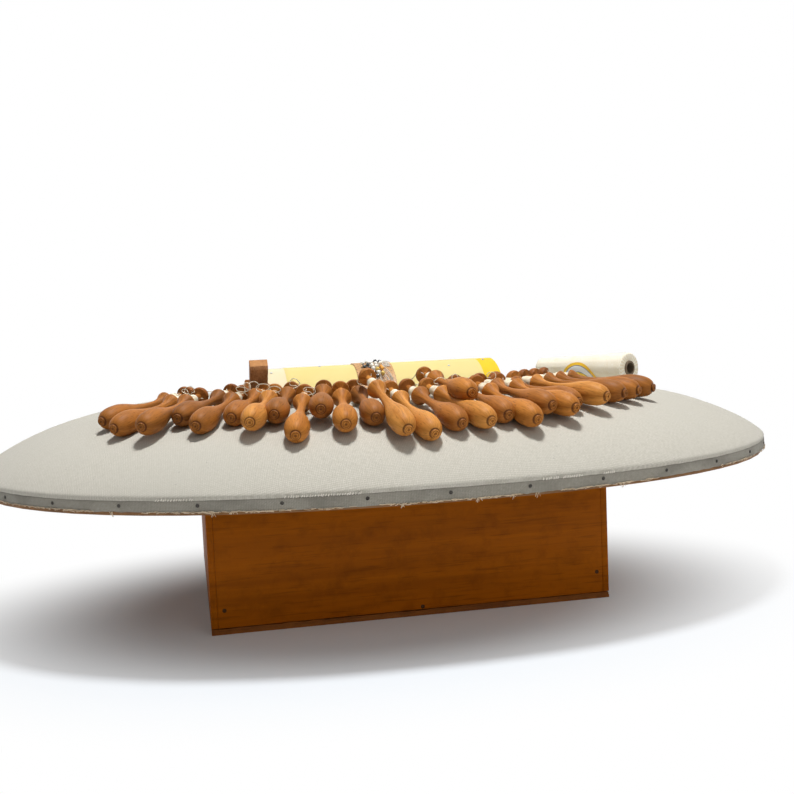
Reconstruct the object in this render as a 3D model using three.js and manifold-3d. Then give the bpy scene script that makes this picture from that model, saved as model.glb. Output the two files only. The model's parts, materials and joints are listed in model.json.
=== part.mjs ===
// Bobbin lace pillow: a domed oval pad with a turning pattern roller, on a wooden box stand.
// Millimetres, +Z up, +X along the front of the box, the origin on the floor under the middle.
import * as THREE from 'three';
import { mergeVertices } from 'three/addons/utils/BufferGeometryUtils.js';
import Module from 'manifold-3d';

const wasm = await Module();
wasm.setup();

// Clearances and helpers
const seatGap = 0.3;
const turnGap = 0.6;
const cutOverrun = 2;

// Box stand
const boxSideRoom = 52;
const boxDepth = 259;
const boxHeight = 100;
const panelThickness = 9;
const sideThickness = 12;
const sideLip = 4.7;
const bottomThickness = 4.3;

// Pillow
const pillowHalfWidth = 310;
const pillowHalfDepth = 234;
const ovalExponent = 2.3;
const boardThickness = 9;
const bandThickness = 1.2;
const bandReveal = 1.2;
const padCrown = 46.6;
const padShoulder = 4.36;
const padPlumpness = 0.85;
const padLowerRoll = 2.5;
const padTuck = 4;

// Rim tacks
const tackCount = 34;
const tackHeadRadius = 2.6;
const tackHeadHeight = 1.1;
const tackStartShare = 0.54;

// Pattern roller
const rollerLeftReach = 92.7;
const rollerAxisY = -10;
const rollerAxisZ = 131;
const rollerLength = 188;
const rollerRadius = 43.9;
const coverThickness = 1.6;
const axleRadius = 5;
const slotHalfDepth = 56;
const cheekThickness = 8;
const cheekTopZ = 147;

// Pricking and made lace on the roller
const prickingWidth = 30;
const prickingCentreX = -6;
const prickingThickness = 0.6;
const laceWidth = 11;
const laceCentreX = 2;
const laceThickness = 0.6;
const laceFrontAngle = 20;
const laceBackAngle = 190;

// Ratchet wheel and pawl
const toothCount = 24;
const wheelTipRadius = 38;
const toothDepth = 4;
const toothUndercut = 12;
const wheelThickness = 14;
const pawlWidth = 13.4;
const pawlFootWidth = 11.4;
const pawlPivotRise = 26;
const pawlPivotReach = 3;
const pawlBossRadius = 6;
const pawlPinRadius = 2.5;
const handleLength = 35;
const handleThickness = 11;
const handleLean = 38;
const armThickness = 8;
const armDrop = 31;
const noseReach = 3.2;
const noseHeight = 3.4;
const pinHeadRadius = 4;
const pinHeadThickness = 2;

// Bobbins
const bobbinLength = 95.5;
const bulbRadius = 8.3;
const collarRadius = 6.8;
const bobbinHeadRadius = 6.2;
const neckRadius = 2.7;
const threadRadius = 4.3;
const stemRadius = 2.2;
const buttonRadius = 2.7;

// Thread tube
const tubeLength = 98;
const tubeBoreRadius = 4.6;
const tubeWall = 1.6;
const tubeEndRadius = 13.2;
const tubeSmallRadius = 8;
const tubeRim = 1;
const tubeTurn = 30;
const tubeEndX = 206;
const tubeEndY = -40;

// Pins
const beadRadius = 1.7;
const beadPinShaft = 0.5;
const beadPinReach = 3.2;
const longPinLength = 22;
const longPinRadius = 0.6;
const longPinHeadRadius = 1.3;
const safetyWireRadius = 0.7;
const safetyLength = 26;
const safetyWidth = 5.5;

const woodBox = new THREE.MeshStandardMaterial({ color: 0x6a3510, roughness: 0.35, metalness: 0 });
const woodPale = new THREE.MeshStandardMaterial({ color: 0xc49a66, roughness: 0.6, metalness: 0 });
const clothPad = new THREE.MeshStandardMaterial({ color: 0xc8c5bc, roughness: 0.95, metalness: 0 });
const clothBand = new THREE.MeshStandardMaterial({ color: 0x5f5f5a, roughness: 0.95, metalness: 0 });
const clothYellow = new THREE.MeshStandardMaterial({ color: 0xf8f0a0, roughness: 0.9, metalness: 0 });
const card = new THREE.MeshStandardMaterial({ color: 0xc79b6b, roughness: 0.7, metalness: 0 });
const lace = new THREE.MeshStandardMaterial({ color: 0xf4f0e6, roughness: 0.9, metalness: 0 });
const woodBobbin = new THREE.MeshStandardMaterial({ color: 0xa0602a, roughness: 0.4, metalness: 0 });
const woodPawl = new THREE.MeshStandardMaterial({ color: 0xc08a58, roughness: 0.55, metalness: 0 });
const steel = new THREE.MeshStandardMaterial({ color: 0xb8bcc4, roughness: 0.3, metalness: 0.9 });
const thread = new THREE.MeshStandardMaterial({ color: 0xf6efd8, roughness: 0.85, metalness: 0 });
const beadGlass = new THREE.MeshStandardMaterial({ color: 0x202022, roughness: 0.15, metalness: 0 });

const lacePillow = new THREE.Group();

function addPiece(name, geometry, material) {
  const mesh = new THREE.Mesh(geometry, material);
  mesh.name = name;
  lacePillow.add(mesh);
  return mesh;
}

// A closed geometry becomes a solid for the cuts and joins.
function solidOf(geometry) {
  const bare = geometry.clone();
  bare.deleteAttribute('normal');
  bare.deleteAttribute('uv');
  const merged = mergeVertices(bare, 1e-4);
  const triangles = [];
  const index = merged.index.array;
  for (let i = 0; i < index.length; i += 3) {
    const corners = [index[i], index[i + 1], index[i + 2]];
    if (new Set(corners).size === 3) triangles.push(...corners);
  }
  return new wasm.Manifold(new wasm.Mesh({
    numProp: 3,
    vertProperties: new Float32Array(merged.attributes.position.array),
    triVerts: new Uint32Array(triangles),
  }));
}

function geometryOf(solid) {
  const mesh = solid.getMesh();
  const geometry = new THREE.BufferGeometry();
  geometry.setAttribute('position', new THREE.BufferAttribute(new Float32Array(mesh.vertProperties), 3));
  geometry.setIndex(new THREE.BufferAttribute(new Uint32Array(mesh.triVerts), 1));
  geometry.computeVertexNormals();
  return geometry;
}

// A block given by its lowest and highest corner.
function block(low, high) {
  const [x, y, z] = high.map((value, i) => value - low[i]);
  const geometry = new THREE.BoxGeometry(x, y, z);
  return geometry.translate(low[0] + x / 2, low[1] + y / 2, low[2] + z / 2);
}

// An outline in (y, z) is drawn out along X from x on.
function plateAlongX(shape, x, thickness, steps = 24) {
  const options = { depth: thickness, bevelEnabled: false, curveSegments: steps };
  const geometry = new THREE.ExtrudeGeometry(shape, options);
  const turn = new THREE.Matrix4().makeBasis(
    new THREE.Vector3(0, 1, 0), new THREE.Vector3(0, 0, 1), new THREE.Vector3(1, 0, 0));
  return geometry.applyMatrix4(turn).translate(x, 0, 0);
}

// A profile of (radius, distance) pairs is revolved about an axis along X.
function turnedAlongX(profile, x, y, z, steps) {
  const points = profile.map(([radius, along]) => new THREE.Vector2(radius, along));
  const geometry = new THREE.LatheGeometry(points, steps);
  return geometry.rotateZ(-Math.PI / 2).rotateX(Math.PI / steps).translate(x, y, z);
}

function rodAlongX(radius, x, length, y, z, steps) {
  const profile = [[0, 0], [radius, 0], [radius, length], [0, length]];
  return turnedAlongX(profile, x, y, z, steps);
}

function sleeveAlongX(inner, outer, x, length, y, z, steps) {
  const profile = [[inner, 0], [outer, 0], [outer, length], [inner, length], [inner, 0]];
  return turnedAlongX(profile, x, y, z, steps);
}

// The oval of the pillow is a superellipse.
function ovalPoints(halfWidth, halfDepth, count) {
  const points = [];
  for (let i = 0; i < count; i += 1) {
    const angle = (2 * Math.PI * i) / count;
    const c = Math.cos(angle);
    const s = Math.sin(angle);
    const reach = (Math.abs(c) ** ovalExponent + Math.abs(s) ** ovalExponent) ** (-1 / ovalExponent);
    points.push(new THREE.Vector2(halfWidth * reach * c, halfDepth * reach * s));
  }
  return points;
}

// Places shared by several pieces
const boxHalfWidth = rollerLength / 2 + boxSideRoom;
const boxHalfDepth = boxDepth / 2;
const panelBottomZ = bottomThickness + seatGap;
const boardBottomZ = boxHeight;
const boardTopZ = boardBottomZ + boardThickness;
const padBottomZ = boardTopZ + seatGap;
const coverRadius = rollerRadius + seatGap + coverThickness;
const rollerLeftX = -rollerLeftReach;
const rollerRightX = rollerLeftX + rollerLength;
const wheelLeftX = rollerLeftX - turnGap - wheelThickness;
const leftCheekX = wheelLeftX - turnGap - seatGap - cheekThickness;
const rightCheekX = rollerRightX + turnGap + seatGap;
const slotLeftX = leftCheekX - seatGap;
const slotRightX = rightCheekX + cheekThickness + seatGap;
const slotFrontY = rollerAxisY - slotHalfDepth;
const slotBackY = rollerAxisY + slotHalfDepth;
const pivotY = rollerAxisY - wheelTipRadius - pawlPivotReach;
const pivotZ = rollerAxisZ + pawlPivotRise;

function ovalRadius(x, y) {
  const u = Math.abs(x / pillowHalfWidth);
  const v = Math.abs(y / pillowHalfDepth);
  return (u ** ovalExponent + v ** ovalExponent) ** (1 / ovalExponent);
}

function crownAt(radius) {
  return (1 - Math.min(1, radius) ** padShoulder) ** padPlumpness;
}

function padHeight(x, y) {
  const dome = (padCrown - padLowerRoll) * crownAt(ovalRadius(x, y));
  return padBottomZ + padLowerRoll + dome;
}

// Box stand: side boards with rabbets that hold the front and back panels, over a thin bottom.
function buildBox() {
  const panelHalf = boxHalfWidth - sideLip;
  const sides = [['box_left_side', -1], ['box_right_side', 1]];
  for (const [name, side] of sides) {
    const outer = side * boxHalfWidth;
    const inner = side * (boxHalfWidth - sideThickness);
    const board = solidOf(block(
      [Math.min(outer, inner), -boxHalfDepth, panelBottomZ],
      [Math.max(outer, inner), boxHalfDepth, boxHeight - seatGap]));
    let cut = board;
    for (const end of [-1, 1]) {
      const rabbetY = end * (boxHalfDepth - panelThickness - seatGap);
      const openY = end * (boxHalfDepth + cutOverrun);
      const rabbetX = side * panelHalf;
      const openX = side * (boxHalfWidth - sideThickness - cutOverrun);
      cut = cut.subtract(solidOf(block(
        [Math.min(rabbetX, openX), Math.min(rabbetY, openY), panelBottomZ - cutOverrun],
        [Math.max(rabbetX, openX), Math.max(rabbetY, openY), boxHeight + cutOverrun])));
    }
    addPiece(name, geometryOf(cut), woodBox);
  }
  const reach = panelHalf - seatGap;
  addPiece('box_front_panel', block(
    [-reach, -boxHalfDepth, panelBottomZ],
    [reach, -boxHalfDepth + panelThickness, boxHeight - seatGap]), woodBox);
  addPiece('box_back_panel', block(
    [-reach, boxHalfDepth - panelThickness, panelBottomZ],
    [reach, boxHalfDepth, boxHeight - seatGap]), woodBox);
  addPiece('box_bottom', block(
    [-boxHalfWidth, -boxHalfDepth, 0], [boxHalfWidth, boxHalfDepth, bottomThickness]), woodPale);
}

// Oval board under the pad, with the opening that the roller turns in.
function buildBaseBoard() {
  const halfWidth = pillowHalfWidth - bandThickness - seatGap;
  const halfDepth = pillowHalfDepth - bandThickness - seatGap;
  const shape = new THREE.Shape(ovalPoints(halfWidth, halfDepth, 72));
  shape.holes.push(new THREE.Path([
    new THREE.Vector2(slotLeftX, slotFrontY), new THREE.Vector2(slotRightX, slotFrontY),
    new THREE.Vector2(slotRightX, slotBackY), new THREE.Vector2(slotLeftX, slotBackY)]));
  const board = new THREE.ExtrudeGeometry(shape, { depth: boardThickness, bevelEnabled: false });
  addPiece('base_board', board.translate(0, 0, boardBottomZ), woodPale);
}

// Stuffed pad: a revolved profile with a drawn-in lower edge, stretched to the oval.
function buildPad() {
  const ringShares = [1, 0.985, 0.965, 0.94, 0.9, 0.85, 0.78, 0.69, 0.57, 0.42, 0.22];
  const profile = [new THREE.Vector2(0, padBottomZ)];
  profile.push(new THREE.Vector2(1 - padTuck / pillowHalfWidth, padBottomZ));
  for (const share of ringShares) {
    const rise = padLowerRoll + (padCrown - padLowerRoll) * crownAt(share);
    profile.push(new THREE.Vector2(share, padBottomZ + rise));
  }
  profile.push(new THREE.Vector2(0, padBottomZ + padCrown));
  const dome = new THREE.LatheGeometry(profile, 72);
  const place = dome.attributes.position;
  for (let i = 0; i < place.count; i += 1) {
    const round = Math.hypot(place.getX(i), place.getZ(i));
    const angle = Math.atan2(-place.getZ(i), place.getX(i));
    const c = Math.cos(angle);
    const s = Math.sin(angle);
    const reach = (Math.abs(c) ** ovalExponent + Math.abs(s) ** ovalExponent) ** (-1 / ovalExponent);
    const height = place.getY(i);
    place.setXYZ(i, pillowHalfWidth * round * reach * c, pillowHalfDepth * round * reach * s, height);
  }
  const slot = block(
    [slotLeftX, slotFrontY, padBottomZ - cutOverrun],
    [slotRightX, slotBackY, padBottomZ + padCrown + cutOverrun]);
  addPiece('cushion', geometryOf(solidOf(dome).subtract(solidOf(slot))), clothPad);
}

// Cloth band round the board's edge, with the tacks that hold it.
function buildRimBand() {
  const shape = new THREE.Shape(ovalPoints(pillowHalfWidth, pillowHalfDepth, 72));
  const inner = ovalPoints(pillowHalfWidth - bandThickness, pillowHalfDepth - bandThickness, 72);
  shape.holes.push(new THREE.Path(inner));
  const bandHeight = boardThickness - bandReveal;
  const strip = new THREE.ExtrudeGeometry(shape, { depth: bandHeight, bevelEnabled: false });
  const bandBottomZ = boardBottomZ + bandReveal;
  let band = solidOf(strip.translate(0, 0, bandBottomZ));
  const outline = ovalPoints(pillowHalfWidth, pillowHalfDepth, 720);
  const steps = outline.map((point, i) => point.distanceTo(outline[(i + 1) % outline.length]));
  const spacing = steps.reduce((sum, step) => sum + step, 0) / tackCount;
  let walked = 0;
  let placed = 0;
  for (let i = 0; i < outline.length && placed < tackCount; i += 1) {
    if (walked >= (placed + tackStartShare) * spacing) {
      const ahead = outline[(i + 1) % outline.length];
      const facing = Math.atan2(ahead.y - outline[i].y, ahead.x - outline[i].x) - Math.PI / 2;
      const head = new THREE.SphereGeometry(tackHeadRadius, 6, 4);
      head.scale(tackHeadHeight / tackHeadRadius, 1, 1).rotateZ(facing);
      const sunk = tackHeadHeight / 3;
      const x = outline[i].x - sunk * Math.cos(facing);
      const y = outline[i].y - sunk * Math.sin(facing);
      band = band.add(solidOf(head.translate(x, y, bandBottomZ + bandHeight / 2)));
      placed += 1;
    }
    walked += steps[i];
  }
  addPiece('rim_band', geometryOf(band), clothBand);
}

// Cheeks: upright boards in the slot that carry the roller's axle, the left one also the pawl.
function buildCheeks() {
  const holeRadius = axleRadius + turnGap;
  const hole = new THREE.Path().absarc(rollerAxisY, rollerAxisZ, holeRadius, 0, 2 * Math.PI, true);
  const front = slotFrontY + seatGap;
  const back = slotBackY - seatGap;
  const cheeks = [['roller_cheek_left', leftCheekX, true], ['roller_cheek_right', rightCheekX, false]];
  for (const [name, x, ear] of cheeks) {
    const shape = new THREE.Shape();
    shape.moveTo(front, panelBottomZ);
    shape.lineTo(back, panelBottomZ);
    shape.lineTo(back, cheekTopZ);
    if (ear) {
      shape.lineTo(pivotY + 2 * pawlBossRadius, cheekTopZ);
      shape.absarc(pivotY, pivotZ, pawlBossRadius, 0, Math.PI, false);
    }
    shape.lineTo(front, cheekTopZ);
    shape.holes.push(hole);
    if (ear) {
      const pinFit = pawlPinRadius + seatGap;
      shape.holes.push(new THREE.Path().absarc(pivotY, pivotZ, pinFit, 0, 2 * Math.PI, true));
    }
    addPiece(name, plateAlongX(shape, x, cheekThickness, 12), woodPale);
  }
}

// Pattern roller: wooden core on its axle, cloth cover, card pricking and the made lace.
function buildRoller() {
  const bore = axleRadius + seatGap;
  addPiece('roller_core',
    sleeveAlongX(bore, rollerRadius, rollerLeftX, rollerLength, rollerAxisY, rollerAxisZ, 48), woodPale);
  const axleLength = rightCheekX + cheekThickness - leftCheekX;
  addPiece('roller_axle',
    rodAlongX(axleRadius, leftCheekX, axleLength, rollerAxisY, rollerAxisZ, 24), woodPale);
  const coverInner = rollerRadius + seatGap;
  const cover = sleeveAlongX(
    coverInner, coverRadius, rollerLeftX, rollerLength, rollerAxisY, rollerAxisZ, 48);
  addPiece('roller_cover', cover, clothYellow);
  const cardInner = coverRadius + seatGap;
  const cardOuter = cardInner + prickingThickness;
  const cardLeft = prickingCentreX - prickingWidth / 2;
  addPiece('pricking',
    sleeveAlongX(cardInner, cardOuter, cardLeft, prickingWidth, rollerAxisY, rollerAxisZ, 48), card);
  const laceInner = cardOuter + seatGap;
  const laceOuter = laceInner + laceThickness;
  const start = Math.PI - THREE.MathUtils.degToRad(laceFrontAngle);
  const end = Math.PI - THREE.MathUtils.degToRad(laceBackAngle);
  const band = new THREE.Shape();
  band.absarc(rollerAxisY, rollerAxisZ, laceOuter, start, end, true);
  band.absarc(rollerAxisY, rollerAxisZ, laceInner, end, start, false);
  addPiece('made_lace', plateAlongX(band, laceCentreX - laceWidth / 2, laceWidth, 32), lace);
}

// A point of the wheel, by its radius and its angle above the front, in degrees.
function wheelPoint(radius, degrees) {
  const angle = THREE.MathUtils.degToRad(degrees);
  return new THREE.Vector2(rollerAxisY - radius * Math.cos(angle), rollerAxisZ + radius * Math.sin(angle));
}

// Ratchet wheel: the teeth catch downward at the front, so the threads can't turn the roller back.
const toothPitch = 360 / toothCount;
const rootRadius = wheelTipRadius - toothDepth;
const undercutRun = toothDepth * Math.tan(THREE.MathUtils.degToRad(toothUndercut));
const undercutTurn = THREE.MathUtils.radToDeg(undercutRun / rootRadius);

function buildRatchet() {
  const outline = [];
  for (let i = 0; i < toothCount; i += 1) {
    outline.push(wheelPoint(wheelTipRadius, i * toothPitch));
    outline.push(wheelPoint(rootRadius, (i + 1) * toothPitch + undercutTurn));
  }
  const wheel = new THREE.Shape(outline);
  const bore = axleRadius + seatGap;
  wheel.holes.push(new THREE.Path().absarc(rollerAxisY, rollerAxisZ, bore, 0, 2 * Math.PI, false));
  addPiece('ratchet_wheel', plateAlongX(wheel, wheelLeftX, wheelThickness, 12), woodPale);
}

// Pawl: a thumb lever that leans forward above its pin, with an arm and a nose below it.
function buildPawl() {
  const pawlX = wheelLeftX + (wheelThickness - pawlWidth) / 2;
  const lean = THREE.MathUtils.degToRad(handleLean);
  const half = handleThickness / 2;
  const along = (up, across) => new THREE.Vector2(
    pivotY - up * Math.sin(lean) + across * Math.cos(lean),
    pivotZ + up * Math.cos(lean) + across * Math.sin(lean));
  const edge = half / 3;
  const handle = new THREE.Shape([
    along(0, -half), along(handleLength - edge, -half), along(handleLength, -half + edge),
    along(handleLength, half - edge), along(handleLength - edge, half), along(0, half)]);
  const armBackY = rollerAxisY - wheelTipRadius - turnGap;
  const armBottomZ = pivotZ - armDrop;
  const arm = new THREE.Shape([
    new THREE.Vector2(armBackY - armThickness, armBottomZ), new THREE.Vector2(armBackY, armBottomZ),
    new THREE.Vector2(armBackY, pivotZ), new THREE.Vector2(armBackY - armThickness, pivotZ)]);
  const noseRadius = wheelTipRadius - noseReach;
  const gapTurn = THREE.MathUtils.radToDeg(seatGap / wheelTipRadius);
  const faceTurn = undercutTurn * (noseReach / toothDepth);
  const outside = turnGap + seatGap;
  const outsideTurn = undercutTurn * (outside / toothDepth);
  const noseTop = wheelPoint(wheelTipRadius + outside, -gapTurn - outsideTurn);
  const noseTip = wheelPoint(noseRadius, faceTurn - gapTurn);
  const nose = new THREE.Shape([
    noseTip, noseTop,
    new THREE.Vector2(armBackY - seatGap, noseTop.y),
    new THREE.Vector2(armBackY - seatGap, noseTop.y - noseHeight)]);
  const boss = new THREE.Shape().absarc(pivotY, pivotZ, pawlBossRadius, 0, 2 * Math.PI, false);
  let body = solidOf(plateAlongX(handle, pawlX, pawlWidth));
  for (const shape of [arm, nose, boss]) body = body.add(solidOf(plateAlongX(shape, pawlX, pawlWidth, 16)));
  const bore = pawlPinRadius + seatGap;
  const recess = pinHeadRadius + seatGap;
  const recessX = pawlX + pawlWidth - pinHeadThickness - seatGap;
  body = body.subtract(solidOf(
    rodAlongX(bore, pawlX - cutOverrun, pawlWidth + 2 * cutOverrun, pivotY, pivotZ, 16)));
  body = body.subtract(solidOf(
    rodAlongX(recess, recessX, pinHeadThickness + cutOverrun, pivotY, pivotZ, 16)));
  // The sides draw in toward the foot, as a front view shows.
  const middleX = pawlX + pawlWidth / 2;
  const topZ = pivotZ + handleLength;
  const front = new THREE.Shape([
    new THREE.Vector2(middleX - pawlFootWidth / 2, armBottomZ - cutOverrun),
    new THREE.Vector2(middleX + pawlFootWidth / 2, armBottomZ - cutOverrun),
    new THREE.Vector2(middleX + pawlWidth / 2, topZ), new THREE.Vector2(middleX - pawlWidth / 2, topZ)]);
  const reach = slotHalfDepth;
  const taper = new THREE.ExtrudeGeometry(front, { depth: 2 * reach, bevelEnabled: false });
  taper.rotateX(Math.PI / 2).translate(0, pivotY + reach, 0);
  addPiece('pawl', geometryOf(body.intersect(solidOf(taper))), woodPawl);
  const pinLength = pawlX + pawlWidth - leftCheekX;
  const pin = solidOf(rodAlongX(pawlPinRadius, leftCheekX, pinLength, pivotY, pivotZ, 16));
  const headX = leftCheekX + pinLength - pinHeadThickness;
  const cap = solidOf(rodAlongX(pinHeadRadius, headX, pinHeadThickness, pivotY, pivotZ, 16));
  addPiece('pawl_pin', geometryOf(pin.add(cap)), steel);
}

// Turned bobbin, from the button at its end, over the bulb, neck, collar and spool, to its head.
const bulbAt = bobbinLength * 0.162;
const collarAt = bobbinLength * 0.691;
const headAt = bobbinLength * 0.942;

function bobbinGeometry() {
  const profileShares = [
    [buttonRadius, 0, 1], [buttonRadius, 0.026, 1.15], [bulbRadius, 0.036, 0.55], [bulbRadius, 0.075, 0.84],
    [bulbRadius, 0.13, 0.98], [bulbRadius, 0.19, 1], [bulbRadius, 0.262, 0.88], [bulbRadius, 0.346, 0.63],
    [neckRadius, 0.44, 1.26], [neckRadius, 0.54, 1], [collarRadius, 0.635, 0.56],
    [collarRadius, 0.691, 1], [threadRadius, 0.706, 1], [threadRadius, 0.859, 1],
    [stemRadius, 0.863, 1], [stemRadius, 0.911, 1], [bobbinHeadRadius, 0.917, 0.94],
    [bobbinHeadRadius, 0.942, 1], [bobbinHeadRadius, 0.982, 0.72]];
  const points = [new THREE.Vector2(0, 0)];
  for (const [radius, alongShare, radiusShare] of profileShares) {
    points.push(new THREE.Vector2(radius * radiusShare, alongShare * bobbinLength));
  }
  points.push(new THREE.Vector2(0, bobbinLength));
  return new THREE.LatheGeometry(points, 8);
}

// The height at which a ball of this radius rests on the pad, with the usual gap.
function seatHeight(x, y, radius) {
  let height = padHeight(x, y) + radius;
  for (const share of [0.25, 0.5, 0.75, 0.9]) {
    for (let i = 0; i < 12; i += 1) {
      const angle = (2 * Math.PI * i) / 12;
      const away = radius * share;
      const under = padHeight(x + away * Math.cos(angle), y + away * Math.sin(angle));
      height = Math.max(height, under + Math.sqrt(radius ** 2 - away ** 2));
    }
  }
  return height + seatGap;
}

// Each row: the bulb's place across from the slot's middle, in bulb radii, and toward the worker from
// the slot's front edge, in bobbin lengths; then the head's place across and the lifts of bulb and
// head, in bulb radii.
const bobbinShares = [
  [-24.6, 0.269, -18.59, 0, 0],
  [-23.3, 0.574, -18.15, 0, 0.1],
  [-21.2, 0.787, -17.27, 0, 0.1],
  [-18.4, 0.639, -14.47, 0, 0.1],
  [-17.1, 0.878, -13.59, 0, 0.1],
  [-14.6, 0.787, -11.68, 0, 0.1],
  [-13.6, 1.047, -10.98, 0, 0.1],
  [-11.2, 0.934, -9.33, 0, 0.1],
  [-10.3, 1.234, -8.59, 0, 0.1],
  [-8, 0.999, -6.6, 0, 0.1],
  [-6.5, 1.217, -5.48, 0, 0.1],
  [-4.3, 1.112, -4.14, 0, 0.1],
  [-2.4, 1.36, -3.57, 0, 1.25],
  [-0.35, 1.373, -1.6, 0, 0.1],
  [1.8, 1.286, 0.09, 0, 0.1],
  [3.9, 1.312, 1.73, 0, 0.1],
  [4.1, 0.982, 2.54, 0.75, 1],
  [5.95, 1.195, 4.7, 0, 0.1],
  [8.05, 1.299, 6.18, 0, 0.1],
  [9.6, 1.143, 6.98, 0, 0.1],
  [11.75, 1.165, 8.53, 0, 0.1],
  [12.8, 0.965, 9.01, 0, 0.1],
  [15, 0.965, 10.58, 0, 0.1],
  [17.4, 0.774, 12.12, 0, 0.1],
  [19.4, 0.647, 13.39, 0, 0.1],
  [21.4, 0.504, 14.63, 0, 0.1],
];

function buildBobbins() {
  const span = headAt - bulbAt;
  bobbinShares.forEach(([acrossShare, towardShare, headAcrossShare, bulbLiftShare, headLiftShare], i) => {
    const x = acrossShare * bulbRadius;
    const y = slotFrontY - towardShare * bobbinLength;
    const turn = Math.asin(((headAcrossShare - acrossShare) * bulbRadius) / span);
    const bulbZ = seatHeight(x, y, bulbRadius) + bulbLiftShare * bulbRadius;
    const onPad = (distance) => [x + distance * Math.sin(turn), y + distance * Math.cos(turn)];
    const collarZ = seatHeight(...onPad(collarAt - bulbAt), collarRadius);
    const lowestHeadZ = bulbZ + (collarZ - bulbZ) * (span / (collarAt - bulbAt));
    const headSeatZ = Math.max(seatHeight(...onPad(span), bobbinHeadRadius), lowestHeadZ);
    const headZ = headSeatZ + headLiftShare * bulbRadius;
    const rise = Math.asin((headZ - bulbZ) / span);
    const direction = new THREE.Vector3(
      Math.sin(turn) * Math.cos(rise), Math.cos(turn) * Math.cos(rise), Math.sin(rise));
    const number = String(i + 1).padStart(2, '0');
    const bobbin = addPiece(`bobbin_${number}`, bobbinGeometry(), woodBobbin);
    bobbin.quaternion.setFromUnitVectors(new THREE.Vector3(0, 1, 0), direction);
    bobbin.position.set(x, y, bulbZ).addScaledVector(direction, -bulbAt);
  });
}

// Thread tube: a card tube with its tapered winding, lying on the pad behind the bobbins.
function buildThreadTube() {
  const turn = THREE.MathUtils.degToRad(tubeTurn);
  const smallX = tubeEndX - tubeLength * Math.sin(turn);
  const smallY = tubeEndY + tubeLength * Math.cos(turn);
  const end = new THREE.Vector3(tubeEndX, tubeEndY, seatHeight(tubeEndX, tubeEndY, tubeEndRadius));
  const small = new THREE.Vector3(smallX, smallY, seatHeight(smallX, smallY, tubeSmallRadius));
  // The crowned pad rises between the ends, so the tube lies on its highest line.
  let lift = 0;
  for (let i = 1; i < 12; i += 1) {
    const at = end.clone().lerp(small, i / 12);
    const radius = THREE.MathUtils.lerp(tubeEndRadius, tubeSmallRadius, i / 12);
    lift = Math.max(lift, seatHeight(at.x, at.y, radius) - at.z);
  }
  end.z += lift;
  small.z += lift;
  const direction = small.clone().sub(end).normalize();
  const upright = new THREE.Vector3(0, 1, 0);
  const coreRadius = tubeBoreRadius + tubeWall;
  const pieces = [
    ['thread_tube_core', [[tubeBoreRadius, 0], [coreRadius, 0], [coreRadius, tubeLength],
      [tubeBoreRadius, tubeLength], [tubeBoreRadius, 0]], card],
    ['thread_tube_winding', [[coreRadius + seatGap, tubeRim], [tubeEndRadius - tubeRim, tubeRim],
      [tubeEndRadius, 2 * tubeRim], [tubeSmallRadius, tubeLength - 2 * tubeRim],
      [tubeSmallRadius - tubeRim / 2, tubeLength - tubeRim], [coreRadius + seatGap, tubeLength - tubeRim],
      [coreRadius + seatGap, tubeRim]], thread],
  ];
  for (const [name, profile, material] of pieces) {
    const points = profile.map(([radius, along]) => new THREE.Vector2(radius, along));
    const piece = addPiece(name, new THREE.LatheGeometry(points, 20), material);
    piece.quaternion.setFromUnitVectors(upright, direction);
    piece.position.copy(end);
  }
}

// Bead-headed pins in the pricking: a round bead on a short shaft, square to the roller.
function buildBeadPins() {
  // Each row: across the pricking, as a share of its half width, and forward from the top, of a turn.
  const pinShares = [
    [-0.57, 0.075], [-0.37, 0.05], [-0.13, 0.085], [0.1, 0.045],
    [0.3, 0.065], [-0.37, 0.11], [0, 0.115], [0.33, 0.09]];
  pinShares.forEach(([acrossShare, turnShare], i) => {
    const x = prickingCentreX + acrossShare * prickingWidth / 2;
    const onLace = Math.abs(x - laceCentreX) < laceWidth / 2 + beadPinShaft;
    const cardRadius = coverRadius + seatGap + prickingThickness;
    const surface = cardRadius + seatGap + (onLace ? laceThickness + seatGap : 0);
    const shaft = new THREE.CylinderGeometry(beadPinShaft, beadPinShaft, beadPinReach, 8);
    const bead = new THREE.SphereGeometry(beadRadius, 8, 6);
    const pin = solidOf(shaft.translate(0, surface + beadPinReach / 2, 0));
    const whole = pin.add(solidOf(bead.translate(0, surface + beadPinReach, 0)));
    const mesh = addPiece(`bead_pin_${i + 1}`, geometryOf(whole), beadGlass);
    mesh.rotation.x = Math.PI / 2 + turnShare * 2 * Math.PI;
    mesh.position.set(x, rollerAxisY, rollerAxisZ);
  });
}

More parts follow.
